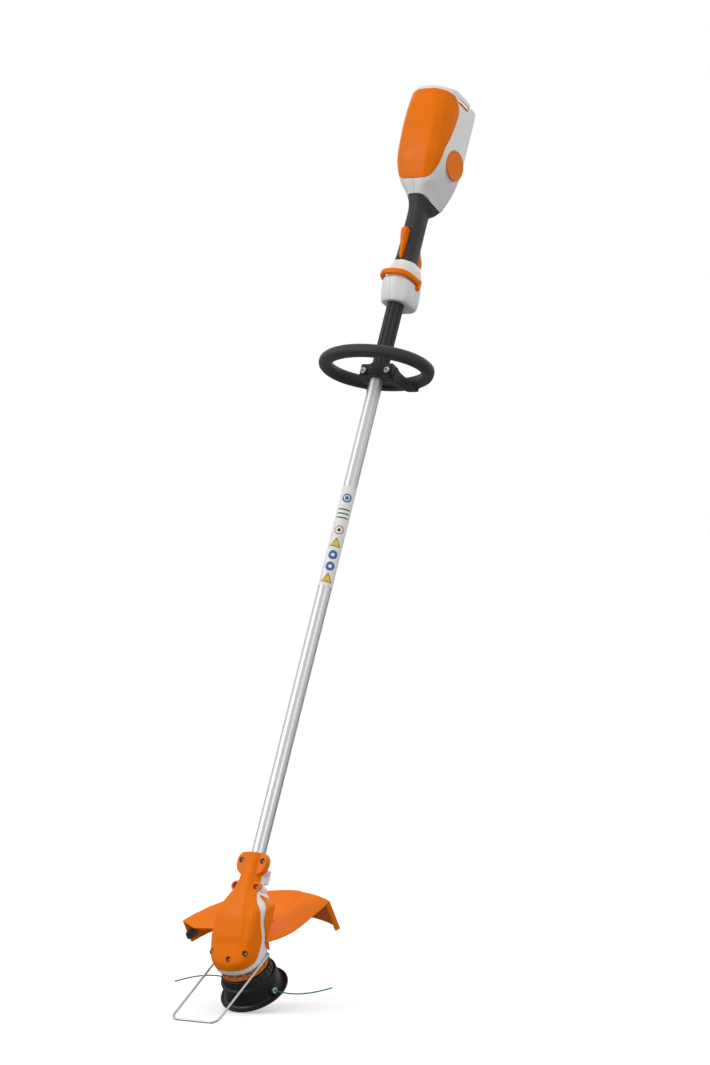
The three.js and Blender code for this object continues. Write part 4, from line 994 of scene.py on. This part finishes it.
class TRIMMER_OT_grip(bpy.types.Operator):
    """The black rear grip in two halves"""

    bl_idname = "trimmer.grip"
    bl_label = "Grip"

    def execute(self, context):
        rows, core = [], []
        for z in spread(COLLAR_HIGH + 0.3, HANDLE_HIGH, 50):
            front, rear, width = eased(GRIP_STATIONS, z)
            share = max((z - 1450) / (HANDLE_HIGH - 1450), 0)
            rows.append(oval_row(z, front, rear, width, 2.6, lift=lambda y, share=share: saddle(y, share)))
            core.append(oval_row(z, front - 2.5, rear - 2.5, width - 2.5, 2.6, 48))
        core[0] = [(x, y, z - 2) for x, y, z in core[0]]
        core[-1] = [(x, y, z + 8) for x, y, z in core[-1]]
        body = loft(rows)
        joined(body, loft(core))
        joined(body, block(-6, 6, -60, -6, 1359, 1424))
        joined(body, block(-8, 8, 6, 60, 1359, 1418))
        gap = context.scene.trimmer_sizes.parting / MM
        halves(body, gap, ("grip_half_left", "grip_half_right"), "grip", "soft_grip",
               ("grip_left", "grip_right"), smooth=40)
        self.lever()
        self.trigger()
        switch = block(-7, 7, -7, 5, 1372.3, 1392)
        softened(switch, 0.8)
        joined(switch, block(-3, 3, -9, -6.5, 1378, 1386))
        settled(switch, "switch_block", SHAFT, "black", "tool", "black_plastic", "power_switch")
        return {"FINISHED"}

    def lever(self):
        outline = curve_through([
            (-12, 1361), (-20, 1361), (-24, 1365), (-28, 1388), (-33.5, 1412), (-33, 1418), (-30, 1421),
        ], 26)
        outline += [(-17, 1421), (-14, 1400)]
        lever = plate(outline, -5, 5, "x")
        softened(lever, 1.4, 3, 50)
        for vertex in lever.data.vertices:
            vertex.co.x *= 0.55 + 0.45 * ramp(vertex.co.z, 1364, 1412)
        settled(lever, "lockout_press", SHAFT, "orange", "lever", "orange_plastic", "lockout_lever",
                smooth=40)

    def trigger(self):
        outline = curve_through([
            (9, 1413), (20, 1413), (24, 1404), (30, 1392), (38, 1382), (41, 1372), (36, 1364.5), (26, 1362),
        ], 30)
        outline += [(12, 1380)]
        trigger = plate(outline, -7, 7, "x")
        softened(trigger, 2.0, 3, 50)
        settled(trigger, "trigger_pull", SHAFT, "orange", "trigger", "orange_plastic", "trigger", smooth=40)


# ------------------------------------------------------------------ battery housing
HOUSING_HIGH, HOUSING_W, HOUSING_REAR = 1695, 50, 46
HOUSING_STATIONS = [  # z, front, facet half width, middle x and front, side start, half width, rear
    (HANDLE_HIGH + 0.3, 28.5, 11, 17, 24, 12, 22.8, 48),
    (1500, 37, 17, 25, 30, 15, 30, 48),
    (1514, 43.5, 22, 33, 36, 20, 37, 47.8),
    (1535, 51, 26, 39, 42, 26, 45, 46.8),
    (1556, 57.5, 29, 43, 47, 31, 49, HOUSING_REAR),
    (1575, 61, 30, 44, 50, 33, HOUSING_W, HOUSING_REAR),
    (1612, 65.5, 31, 44, 53, 34, HOUSING_W, HOUSING_REAR),
    (1650, 68, 27, 42, 56, 36, HOUSING_W, HOUSING_REAR),
    (1680, 69, 19, 37, 58, 40, HOUSING_W - 0.3, HOUSING_REAR),
    (HOUSING_HIGH, 68.5, 16, 34, 58, 42, HOUSING_W - 0.8, HOUSING_REAR),
]
COVER_EDGE = [
    (-88, 1500), (-52, 1509), (-43, 1515), (-38.5, 1526), (-36.5, 1548), (-35.5, 1574), (-31, 1592),
    (-26, 1611), (-21.5, 1638), (-20.5, 1655), (-24, 1667), (-31, 1675), (-43, 1684), (-56, 1688),
    (-88, 1690),
]
COVER_MIDDLE, COVER_HALF = 1600, 90  # about which the cover shrinks by the parting gap
LATCH_WINDOW = (-30, 8, 1675, 1686)
BADGE_R, BADGE_Y, BADGE_Z = 28, 6, 1564


def housing_rows(inset=0.0, rows=56):
    made = []
    for z in spread(HANDLE_HIGH + 0.3, HOUSING_HIGH, rows):
        front, facet, mid_x, mid_front, side, width, rear = eased(HOUSING_STATIONS, z)
        rear_x = width * 0.72
        half = [
            (facet - inset * 0.3, -front + inset, 5), (mid_x - inset * 0.7, -mid_front + inset * 0.7, 6),
            (width - inset, -side, 7), (width - inset, rear - 12, 7),
            (rear_x - inset * 0.7, rear - inset, 9),
        ]
        share = max((1522 - z) / (1522 - HANDLE_HIGH), 0)
        made.append([(x, y, z + saddle(y, share)) for x, y in rounded(both_sides(half), 4)])
    return made


class TRIMMER_OT_housing(bpy.types.Operator):
    """The battery housing: two white shells, the orange cover and the round badge"""

    bl_idname = "trimmer.housing"
    bl_label = "Battery housing"

    def execute(self, context):
        sizes = context.scene.trimmer_sizes
        gap, proud = sizes.parting / MM, sizes.proud / MM
        core = housing_rows(3)
        core[0] = [(x * 0.95, y * 0.95, z - 3) for x, y, z in core[0]]
        core[-1] = [(x, y, z + 3) for x, y, z in core[-1]]
        core = loft(core)
        edge = curve_through(COVER_EDGE, 90)
        shells = loft(housing_rows())
        cover = loft(housing_rows(-proud))
        for body in (shells, cover):
            joined(body, copied(core))
        bpy.data.objects.remove(core, do_unlink=True)
        joined(shells, plate(edge, -100, 100, "x"))
        y0, y1, z0, z1 = LATCH_WINDOW
        window = rounded([(y0, z0, 3), (y1, z0, 3), (y1, z1, 3), (y0, z1, 3)], 3)
        joined(shells, plate(window, 40, 80, "x"))
        joined(shells, self.rear_notch())
        joined(shells, rod(BADGE_R + 0.4, (HOUSING_W - 1.4, BADGE_Y, BADGE_Z), (80, BADGE_Y, BADGE_Z), 96))
        halves(shells, gap, ("shell_left", "shell_right"), "white", "white_plastic",
               ("housing_left", "housing_right"))
        shrunk = 1 - gap / COVER_HALF
        region = [(y - gap, COVER_MIDDLE + (z - COVER_MIDDLE) * shrunk) for y, z in edge]
        joined(cover, plate(region, -100, 100, "x"), "INTERSECT")
        settled(cover, "cover", SHAFT, "orange", "tool", "orange_plastic", "housing_cover")
        self.badge()
        return {"FINISHED"}

    def rear_notch(self):
        """The step in the top edge, behind the latch."""
        outline = [
            (-120, HOUSING_HIGH + 4), (-50, HOUSING_HIGH + 4), (8, 1693), (10, 1682), (14, 1682), (16, 1689),
            (60, 1682), (60, HOUSING_HIGH + 10), (-120, HOUSING_HIGH + 10),
        ]
        return plate(outline, -80, 80, "x")

    def badge(self):
        face = HOUSING_W + 0.9
        badge = turned([(0, 0), (BADGE_R, 0), (BADGE_R, 1.7), (BADGE_R - 0.5, 2.2), (BADGE_R - 2.4, 2.2),
                        (BADGE_R - 2.9, 1.8), (9, 1.9), (0, 1.9)], 96)
        aimed(badge, (HOUSING_W - 1.1, BADGE_Y, BADGE_Z), (face, BADGE_Y, BADGE_Z))
        settled(badge, "round_badge", SHAFT, "orange", "tool", "orange_plastic", "badge")


class TRIMMER_OT_battery(bpy.types.Operator):
    """The battery, its latch, contacts and the control board"""

    bl_idname = "trimmer.battery"
    bl_label = "Battery and latch"

    def execute(self, context):
        low, high = 1560, HOUSING_HIGH - 2
        rows = []
        for z, inset in ((low, 2), (low + 2, 0.5), (low + 5, 0), (high - 5, 0), (high - 1.5, 1), (high, 3)):
            half = [(38 - inset, -42 + inset, 6), (38 - inset, 40 - inset, 6)]
            rows.append([(x, y, z) for x, y in rounded(both_sides(half), 5)])
        pack = loft(rows)
        recess = rounded([(-26, -26, 5), (26, -26, 5), (26, -6, 5), (-26, -6, 5)], 4)
        joined(pack, plate(recess, high - 9, high + 5))
        for x in (-12, -4, 4, 12):
            groove = rounded([(x - 2, 8, 1.5), (x + 2, 8, 1.5), (x + 2, 30, 1.5), (x - 2, 30, 1.5)], 3)
            joined(pack, plate(groove, high - 1.5, high + 5))
        softened(pack, 0.5, 2, 50)
        settled(pack, "battery_case", SHAFT, "black", "battery", "battery_case", "battery_pack")
        tongue = rounded([(-26, 1645, 4), (5, 1645, 4), (5, 1684, 2), (-26, 1684, 2)], 4)
        latch = plate(tongue, 42.5, 45.5, "x")
        softened(latch, 0.7)
        for z in (1669, 1673, 1677):
            joined(latch, plate([(-20, z), (0, z), (0, z + 1.2), (-20, z + 1.2)], 44.9, 47, "x"))
        settled(latch, "latch_tongue", SHAFT, "orange", "latch", "orange_plastic", "battery_latch")
        base = block(-24, 24, -28, 28, 1546, 1559.7)
        softened(base, 1.2)
        for x in (-16, -8, 0, 8, 16):
            joined(base, block(x - 1.2, x + 1.2, -20, 20, 1555, 1562))
        settled(base, "contact_base", SHAFT, "black", "tool", "black_plastic", "terminal_block")
        board = block(-30, 30, -48, -46, 1575, 1660)
        for x, z in ((-26, 1579), (26, 1579), (-26, 1656), (26, 1656)):
            joined(board, rod(1.6, (x, -60, z), (x, -40, z), 20))
        settled(board, "board", SHAFT, "board", "tool", "circuit_board", "control_board")
        return {"FINISHED"}


# ------------------------------------------------------------------ motor head
CAP_R, VENT_LOW, VENT_TOP, VENT_R, BAND_TOP = 45, 52, 68, 42, 79
HEAD_W = CAP_R - 0.7  # half width, clear of the wire guard's legs
COVER_FOOT = BAND_TOP + 4.5  # the cover's lower edge


def head_point(f, h):
    """A point of the head frame's middle plane, front and height, as [y, z] of the shaft frame."""
    _, y, z = TO_SHAFT @ Vector((0, -f, h))
    return y, z


HEAD_STATIONS = [  # place, front y and z, rear y and z, half width, squareness
    (0, *head_point(CAP_R - 1, VENT_TOP), *head_point(-CAP_R + 1, VENT_TOP), CAP_R - 1, 2.4),
    (1, *head_point(CAP_R + 0.3, BAND_TOP), *head_point(-CAP_R - 4, BAND_TOP), HEAD_W, 2.4),
    (2, -17, 16, 38, 92, HEAD_W, 2.8), (3, -21, 40, 33, 105, HEAD_W, 3.6), (4, -24, 70, 30, 122, HEAD_W, 4.5),
    (5, -26, 100, 27, 138, CAP_R - 1, 4.5), (6, -23, 130, 25, 150, 33, 3.5), (7, -21, 150, 24, 162, 24, 2.6),
    (8, -19, 170, 23, 172, 20, 2.4), (9, -18, 190, 22, 190, 19, 2.4), (10, -18, 215, 22, 215, 19, 2.4),
]
UPPER_BOSS = {"x": 22, "z": 201, "front": 13, "end": -2.5}
LOWER_BOSS = {"x": 22, "z": 155, "front": 13, "end": 8}
NECK_PLATE = [(19, 177, 2), (27, 184, 2), (30.5, 197, 2), (29, 208, 2), (22, 216, 2), (10, 216, 3)]
REAR_CLAMP = (-22, 22, 8, 21, 168, 188)
COVER_SCREWS = [(6, 22, -15.5), (35, 35, -12.5), (-35, 35, -12.5)]
COWL_SCREW = {"x": 14, "z": 118, "seat": 32}
SEAM = [
    head_point(90, COVER_FOOT), head_point(8, COVER_FOOT), (11, 62), (-5, 93), (-16, 124), (-11, 147),
    (-2, 165), (0, 250),
]
COWL_EDGE = [(33, 42), (30, 57), (15, 80), (1, 104), (0, 132), (-9, 143)]
HEAD_SCREW_R, SHANK_HOLE = 4.5, 2.3
PIVOT_F, PIVOT_H, WIRE_R = -18, 69.7, 2


def head_rows(grow=0.0, first=0.0, last=10.0, rows=61, sides=96, ridges=False):
    made = []
    for place in spread(first, last, rows):
        fy, fz, ry, rz, width, power = eased(HEAD_STATIONS, place)
        span = math.hypot(fy - ry, fz - rz)
        dy, dz = (fy - ry) / span * grow, (fz - rz) / span * grow
        row = []
        for angle in turns(sides):
            a, b = math.sin(angle), math.cos(angle)
            a = math.copysign(abs(a) ** (2 / power), a)
            b = math.copysign(abs(b) ** (2 / power), b)
            y = (fy + ry) / 2 + ((fy - ry) / 2 + dy) * b
            z = (fz + rz) / 2 + ((fz - rz) / 2 + dz) * b
            x = (width + grow) * a
            if ridges and b > 0:
                y -= ridge(x, z) * min(b * 2.5, 1)
            row.append((x, y, z))
        made.append(row)
    return made


def ridge(x, z):
    """Relief on the front cover: a raised tongue that comes down from the neck and widens."""
    edge = 14 + 13 * ramp(z, 150, 70)
    tongue = ramp(z, 48, 62) * (1 - ramp(abs(x), edge - 2.5, edge + 1.0))
    flank = ramp(z, 40, 54) * (1 - ramp(z, 112, 128)) * ramp(abs(x), 33, 36)
    return 1.8 * tongue + 1.2 * flank


class TRIMMER_OT_head(bpy.types.Operator):
    """The motor head: orange front cover, white rear shell and their screws"""

    bl_idname = "trimmer.head"
    bl_label = "Motor head"

    def execute(self, context):
        sizes = context.scene.trimmer_sizes
        gap, proud, voxel = sizes.parting / MM, sizes.proud / MM, sizes.voxel / MM
        rows = head_rows(-2.5, 0, 6.5, sides=48)
        drop = Vector((0, *head_point(0, -6))) - Vector((0, *head_point(0, 0)))
        rows.insert(0, [Vector(point) + drop for point in rows[0]])
        cavity = loft(rows)
        joined(cavity, rod(TUBE_R + 0.3, (0, 0, 100), (0, 0, 260), 96), "UNION")
        for name, grow in (("cover", proud), ("shell", 0)):
            body = loft(head_rows(grow, ridges=name == "cover"))
            self.neck(body, grow)
            moulded(body, voxel, 3)
            joined(body, copied(cavity))
            if name == "cover":
                self.cover(body, gap)
            else:
                self.shell(body)
        bpy.data.objects.remove(cavity, do_unlink=True)
        self.screws()
        return {"FINISHED"}

    def neck(self, body, grow):
        """The screw plate across the neck, the two bosses under it and the rear block."""
        across = [(x + grow, z, radius) for x, z, radius in NECK_PLATE]
        across = rounded(both_sides(across), 3)
        joined(body, plate(across, -UPPER_BOSS["front"] - grow, 12 + grow, "y"), "UNION")
        joined(body, block(*REAR_CLAMP), "UNION")
        for side in (1, -1):
            x, z, radius = side * LOWER_BOSS["x"], LOWER_BOSS["z"], 8 + grow
            front = -LOWER_BOSS["front"] - grow
            joined(body, rod(radius, (x, front, z), (x, 12 + grow, z)), "UNION")
            inner, outer = sorted((side * 4, x))
            joined(body, block(inner, outer, front + 1, 11, z - radius + 1, z + radius - 1), "UNION")

    def holes(self, body):
        for side in (1, -1):
            for boss, end in ((UPPER_BOSS, -1.5), (LOWER_BOSS, 9)):
                x, z, front = side * boss["x"], boss["z"], -boss["front"]
                joined(body, rod(SHANK_HOLE, (x, front - 20, z), (x, end, z), 24))
                joined(body, rod(HEAD_SCREW_R + 0.5, (x, front - 40, z), (x, front + 3, z), 40))
            hole = rod(WIRE_R + 0.3, (side * 30, -PIVOT_F, PIVOT_H), (side * 60, -PIVOT_F, PIVOT_H), 24)
            joined(body, moved(hole, TO_SHAFT))
        return body

    def cover(self, body, gap):
        front = [(y - gap, z) for y, z in curve_through(SEAM, 60)]
        joined(body, plate([*front, (-150, 250), (-150, -60)], -100, 100, "x"), "INTERSECT")
        for x, z, seat in COVER_SCREWS:
            joined(body, rod(6, (x, seat - 0.5, z), (x, seat + 3, z)), "UNION")
            joined(body, rod(SHANK_HOLE, (x, seat - 30, z), (x, seat + 12, z), 24))
            joined(body, rod(HEAD_SCREW_R + 0.5, (x, seat - 40, z), (x, seat, z)))
        self.holes(body)
        settled(body, "head_front", SHAFT, "orange", "tool", "orange_plastic", "head_cover", smooth=40)

    def shell(self, body):
        joined(body, plate([*curve_through(SEAM, 60), (-150, 250), (-150, -60)], -100, 100, "x"))
        joined(body, block(-100, 100, -60, 60, 190, 260))
        for side in (1, -1):
            x, z = side * COWL_SCREW["x"], COWL_SCREW["z"]
            joined(body, rod(SHANK_HOLE, (x, 15, z), (x, 60, z), 24))
        self.holes(body)
        settled(body, "head_rear", SHAFT, "white", "tool", "white_plastic", "head_shell", smooth=40)

    def screws(self):
        for i, side in enumerate((1, -1)):
            for name, boss in (("upper", UPPER_BOSS), ("lower", LOWER_BOSS)):
                x, z, seat = side * boss["x"], boss["z"], -boss["front"] + 3
                screw_at((x, seat, z), (x, 20, z), f"neck_screw_{name}_{i + 1}", "tool",
                         finish="blade", head_r=4.2, head_t=3, shank_r=2, length=boss["end"] - seat)
            x, z, seat = side * COWL_SCREW["x"], COWL_SCREW["z"], COWL_SCREW["seat"]
            screw_at((x, seat + 0.3, z), (x, 20, z), f"cowl_screw_{i + 1}", "tool",
                     head_r=4.4, head_t=3, shank_r=2, length=8)
        for i, (x, z, seat) in enumerate(COVER_SCREWS):
            screw_at((x, seat - 0.1, z), (x, seat + 5, z), f"cover_screw_{i + 1}", "tool",
                     finish="blade", head_r=4.2, head_t=3, shank_r=2, length=4)


# ------------------------------------------------------------------ deflector and knife
DEFLECTOR_R, DEFLECTOR_RIM, DEFLECTOR_T = 190, 68, 3
DEFLECTOR_LEFT, DEFLECTOR_RIGHT, ROOT_R, ROOT_H, WING_FRONT = -66, 26, 40, 96, 62
KNIFE = {"turn": -62, "out": 5, "back": 18, "h": 45, "tall": 16, "thick": 1.5}


def deflector_point(u, v, inner):
    """u runs round the spool, v out along the top to 4 and down the skirt to 5."""
    on_top, down = min(v, 4) / 4, max(v - 4, 0)
    right = DEFLECTOR_RIGHT + 45 * (1 - on_top) ** 2
    angle = math.radians(DEFLECTOR_LEFT + u * (right - DEFLECTOR_LEFT))
    radius = ROOT_R + on_top * (DEFLECTOR_R - ROOT_R)
    rim = DEFLECTOR_RIM + 8 * (1 - u) ** 2
    height = ROOT_H + on_top * (rim - ROOT_H) - 8 * math.sin(math.pi * on_top)
    height += down * (28 - 23 * u - rim)
    height -= 1.8 * ramp(math.degrees(angle), 3, 6) * on_top * (1 - down)
    if inner:
        rib = 7 * ramp(u, 0.975, 0.985)
        radius -= (DEFLECTOR_T + rib) * max(down, ramp(on_top, 0.97, 1))
        height -= DEFLECTOR_T * (1 - ramp(down, 0, 0.05))
    return radius * math.sin(angle), radius * math.cos(angle), height


class TRIMMER_OT_deflector(bpy.types.Operator):
    """The orange deflector with its cowl, and the knife that trims the line"""

    bl_idname = "trimmer.deflector"
    bl_label = "Deflector"

    def execute(self, context):
        voxel = context.scene.trimmer_sizes.voxel / MM
        across, along = spread(0, 1, 61), [*spread(0, 4, 31), *spread(4.05, 5, 12)]
        rows = []
        for v in along:
            rows.append([deflector_point(u, v, False) for u in across])
        for v in reversed(along):
            rows.append([deflector_point(u, v, True) for u in across])
        rows = [list(column) for column in zip(*rows)]
        body = loft(rows)
        region = plate([*curve_through(COWL_EDGE, 40), (60, 143), (120, 143), (120, 42)], -100, 100, "x")
        cowl = loft(head_rows(3.6, 0, 7.5))
        joined(cowl, region, "INTERSECT")
        joined(body, moved(cowl, TO_HEAD), "UNION")
        moulded(body, voxel, 3)
        joined(body, moved(loft(head_rows(0.6, 0, 8)), TO_HEAD))
        joined(body, rod(CAP_R + 2, (0, 0, 0), (0, 0, VENT_TOP + 3), 96))
        joined(body, block(-300, -CAP_R - 5, -100, WING_FRONT, -10, 200))
        for side in (1, -1):
            joined(body, rod(11, (side * 30, -PIVOT_F, PIVOT_H), (side * 70, -PIVOT_F, PIVOT_H)))
            x, z, seat = side * COWL_SCREW["x"], COWL_SCREW["z"], COWL_SCREW["seat"]
            hole = rod(SHANK_HOLE, (x, 15, z), (x, 60, z), 24)
            joined(hole, rod(HEAD_SCREW_R + 0.3, (x, seat, z), (x, 70, z)), "UNION")
            joined(body, moved(hole, TO_HEAD))
        joined(body, self.bore(SHANK_HOLE, 170, 210))
        settled(body, "deflector_guard", HEAD, "orange", "tool", "orange_plastic", "deflector", smooth=45)
        self.knife()
        return {"FINISHED"}

    def at_knife(self, piece):
        return moved(piece, Matrix.Rotation(-math.radians(KNIFE["turn"]), 4, "Z"))

    def bore(self, radius, near, far):
        return self.at_knife(rod(radius, (-2, near, KNIFE["h"]), (-2, far, KNIFE["h"]), 32))

    def knife(self):
        outer = DEFLECTOR_R - DEFLECTOR_T - 0.8
        end = math.radians(KNIFE["turn"] - DEFLECTOR_LEFT) * DEFLECTOR_R
        low, high = KNIFE["h"] - KNIFE["tall"] / 2, KNIFE["h"] + KNIFE["tall"] / 2
        left, right = -end - KNIFE["out"], -end + KNIFE["back"]
        outline = [(left, low + 3), (left + 3, low), (right - 2, low), (right, low + 2), (right, high - 2),
                   (right - 2, high), (left + 3, high), (left, high - 3)]
        blade = plate(outline, outer - KNIFE["thick"], outer, "y")
        bevel = [(left - 1, outer - 0.4), (left + 3, outer - 2.2), (left - 1, outer - 4)]
        joined(blade, plate(bevel, low - 1, high + 1))
        joined(blade, rod(SHANK_HOLE, (-2, 170, KNIFE["h"]), (-2, 210, KNIFE["h"]), 32))
        settled(self.at_knife(blade), "knife_blade", HEAD, "blade", "tool", "steel", "line_knife")
        face = outer - KNIFE["thick"] - 0.3
        screw = star_screw(head_r=3.4, head_t=1.8, shank_r=2, length=DEFLECTOR_R - 0.5 - face)
        aimed(screw, (-2, face, KNIFE["h"]), (-2, face - 10, KNIFE["h"]))
        settled(self.at_knife(screw), "knife_fixing", HEAD, "blade", "tool", "steel", "knife_screw")


# ------------------------------------------------------------------ vent ring and spool
FLANGE_R, FLANGE_T, DRUM_R, DRUM_TOP, CAP_TOP = 61, 4, 50, 30, 50
KNOB_R, KNOB_DROP, EYELET_TURN, EYELET_H = 23, 13, math.radians(79), 12


def eyelet_place(side, radius):
    return side * radius * math.sin(EYELET_TURN), -side * radius * math.cos(EYELET_TURN), EYELET_H


class TRIMMER_OT_spool(bpy.types.Operator):
    """Vent ring, line spool, eyelets and bump knob"""

    bl_idname = "trimmer.spool"
    bl_label = "Spool"

    def execute(self, context):
        self.vent()
        self.base()
        self.cap()
        self.knob()
        return {"FINISHED"}

    def vent(self):
        low, high = VENT_LOW, VENT_TOP - 0.3
        ring = turned([(VENT_R - 2.5, low), (VENT_R - 0.6, low), (VENT_R, low + 0.6), (VENT_R, high),
                       (VENT_R - 2.5, high)])
        for i in range(16):
            turn = Matrix.Rotation(2 * math.pi * i / 16, 4, "Z")
            foot, crest = low + 4, high - 3
            slot = [(-5.5, foot, 1.5), (5.5, foot, 1.5), (5.5, crest, 1.5), (-5.5, crest, 1.5)]
            slot = rounded(slot, 3)
            joined(ring, moved(plate(slot, VENT_R - 8, VENT_R + 4, "y"), turn))
        settled(ring, "vents", HEAD, "orange", "tool", "orange_plastic", "vent_ring")

    def base(self):
        bore = KNOB_R + 1
        base = turned([
            (bore, 0.5), (bore + 0.5, 0), (FLANGE_R - 2, 0), (FLANGE_R - 0.6, 0.5), (FLANGE_R, 1.6),
            (FLANGE_R, FLANGE_T - 1), (FLANGE_R - 0.7, FLANGE_T), (FLANGE_R - 4, FLANGE_T + 0.3),
            (FLANGE_R - 5, FLANGE_T - 0.5), (DRUM_R + 3, FLANGE_T - 0.2), (DRUM_R + 1, FLANGE_T + 1.2),
            (DRUM_R, FLANGE_T + 4), (DRUM_R, DRUM_TOP - 0.6), (DRUM_R - 0.6, DRUM_TOP),
            (DRUM_R - 3, DRUM_TOP), (DRUM_R - 3, FLANGE_T), (bore, FLANGE_T),
        ], 120)
        for side in (1, -1):
            boss = rod(9, eyelet_place(side, DRUM_R - 3.5), eyelet_place(side, DRUM_R + 3), 40)
            joined(base, softened(boss, 1.2, 3), "UNION")
            joined(base, rod(4.3, eyelet_place(side, 40), eyelet_place(side, 70), 32))
            eyelet = turned([
                (1.7, -5), (4, -5), (4, 3), (5.6, 3.2), (5.6, 4.6), (4.8, 5.2), (2.6, 5.2), (1.7, 4.2),
            ], 40)
            aimed(eyelet, eyelet_place(side, DRUM_R), eyelet_place(side, DRUM_R + 5))
            name = "eyelet_1" if side > 0 else "eyelet_2"
            settled(eyelet, f"{name}_ring", HEAD, "steel", "spool", "steel", name)
        settled(base, "spool_drum", HEAD, "black", "spool", "black_plastic", "spool_base")

    def cap(self):
        low = DRUM_TOP + 0.3
        cap = turned([
            (4.3, low), (DRUM_R - 0.5, low), (DRUM_R, low + 0.6), (DRUM_R, low + 4),
            (DRUM_R - 0.6, low + 4.8),
            (CAP_R + 0.6, low + 6), (CAP_R - 0.2, low + 7.5), (CAP_R - 1, CAP_TOP - 3),
            (CAP_R - 2, CAP_TOP - 1), (CAP_R - 4, CAP_TOP), (4.3, CAP_TOP),
        ], 120)
        for i in range(24):
            turn = Matrix.Rotation(2 * math.pi * (i + 0.5) / 24, 4, "Z")
            rib = block(-1.2, 1.2, CAP_R - 2.4, CAP_R + 0.4, low + 5, CAP_TOP - 2.5)
            joined(cap, moved(softened(rib, 0.5, 2), turn), "UNION")
        settled(cap, "spool_lid", HEAD, "black", "spool", "black_plastic", "spool_cap")

    def knob(self):
        knob = turned([
            (0, -KNOB_DROP), (KNOB_R - 6, -KNOB_DROP), (KNOB_R - 2, -KNOB_DROP + 1.4),
            (KNOB_R, -KNOB_DROP + 5), (KNOB_R, -1.5), (13, -1.5), (13, -2), (6, -2), (6, 21), (0, 21),
        ], 96)
        for i in range(12):
            turn = Matrix.Rotation(2 * math.pi * i / 12, 4, "Z")
            joined(knob, moved(rod(1.8, (0, KNOB_R + 0.4, -KNOB_DROP + 4), (0, KNOB_R + 0.4, 2), 16), turn))
        settled(knob, "knob", HEAD, "black", "knob", "black_plastic", "bump_knob")


# ------------------------------------------------------------------ wire guard
GUARD_X, GUARD_FRONT = 47.7, 165.5


class TRIMMER_OT_guard(bpy.types.Operator):
    """The bent wire guard in front of the head"""

    bl_idname = "trimmer.guard"
    bl_label = "Wire guard"

    def execute(self, context):
        bend, hook, rear = 16, 38, -PIVOT_F
        half = [(0, -GUARD_FRONT)]
        for t in spread(0, 1, 9):
            corner = (GUARD_X - bend * (1 - t) ** 2, -GUARD_FRONT + bend * t**2)
            half.append(corner)
        half.append((GUARD_X, -60))
        half += [(GUARD_X - 5 * t**2, rear - 5 * (1 - t) ** 2) for t in spread(0, 1, 5)]
        half.append((hook, rear))
        spots = [(-x, y) for x, y in reversed(half)] + half[1:]
        path = [(x, y, PIVOT_H) for x, y in spots]
        guard = loft(tube_along(path, circle(WIRE_R, 20)))
        settled(guard, "wire_hoop", HEAD, "steel", "guard", "steel", "wire_guard", smooth=50)
        return {"FINISHED"}


# ------------------------------------------------------------------ inner parts
INNER = {
    "line_reel": "black", "line_coil": "line", "bump_spring": "steel", "motor_shaft": "steel",
    "motor_rotor": "steel", "motor_stator": "copper", "motor_bell_lower": "cast", "motor_bell_upper": "cast",
    "bearing_lower": "steel", "bearing_upper": "steel", "power_cable": "black",
}


class TRIMMER_OT_inner(bpy.types.Operator):
    """Finishes for the parts inside the head and the spool"""

    bl_idname = "trimmer.inner"
    bl_label = "Inner parts"

    def execute(self, context):
        for name, finish in INNER.items():
            node = frame["nodes"][name]
            node.data.materials.clear()
            node.data.materials.append(FINISHES[finish])
        return {"FINISHED"}


STEPS = [
    TRIMMER_OT_stage, TRIMMER_OT_cutting_line, TRIMMER_OT_tube, TRIMMER_OT_loop_handle,
    TRIMMER_OT_sleeve, TRIMMER_OT_collar, TRIMMER_OT_bail, TRIMMER_OT_grip, TRIMMER_OT_housing,
    TRIMMER_OT_battery, TRIMMER_OT_head, TRIMMER_OT_deflector, TRIMMER_OT_spool, TRIMMER_OT_guard,
    TRIMMER_OT_inner,
]


class TRIMMER_PT_panel(bpy.types.Panel):
    """Lists the trimmer's pieces and settings"""

    bl_label = "String Trimmer"
    bl_idname = "TRIMMER_PT_panel"
    bl_space_type = "VIEW_3D"
    bl_region_type = "UI"
    bl_category = "Trimmer"

    def draw(self, context):
        for group in (context.scene.trimmer_sizes, context.scene.trimmer_colours):
            for key in group.__annotations__:
                self.layout.prop(group, key)
        for step in STEPS:
            self.layout.operator(step.bl_idname)


CLASSES = [TrimmerColours, TrimmerSizes, *STEPS, TRIMMER_PT_panel]


def register():
    for cls in CLASSES:
        bpy.utils.register_class(cls)
    bpy.types.Scene.trimmer_colours = bpy.props.PointerProperty(type=TrimmerColours)
    bpy.types.Scene.trimmer_sizes = bpy.props.PointerProperty(type=TrimmerSizes)


def unregister():
    del bpy.types.Scene.trimmer_sizes
    del bpy.types.Scene.trimmer_colours
    for cls in reversed(CLASSES):
        bpy.utils.unregister_class(cls)


def main():
    register()
    make_finishes(bpy.context.scene.trimmer_colours)
    for step in STEPS:
        group, call = step.bl_idname.split(".")
        getattr(getattr(bpy.ops, group), call)()


if __name__ == "__main__":
    main()
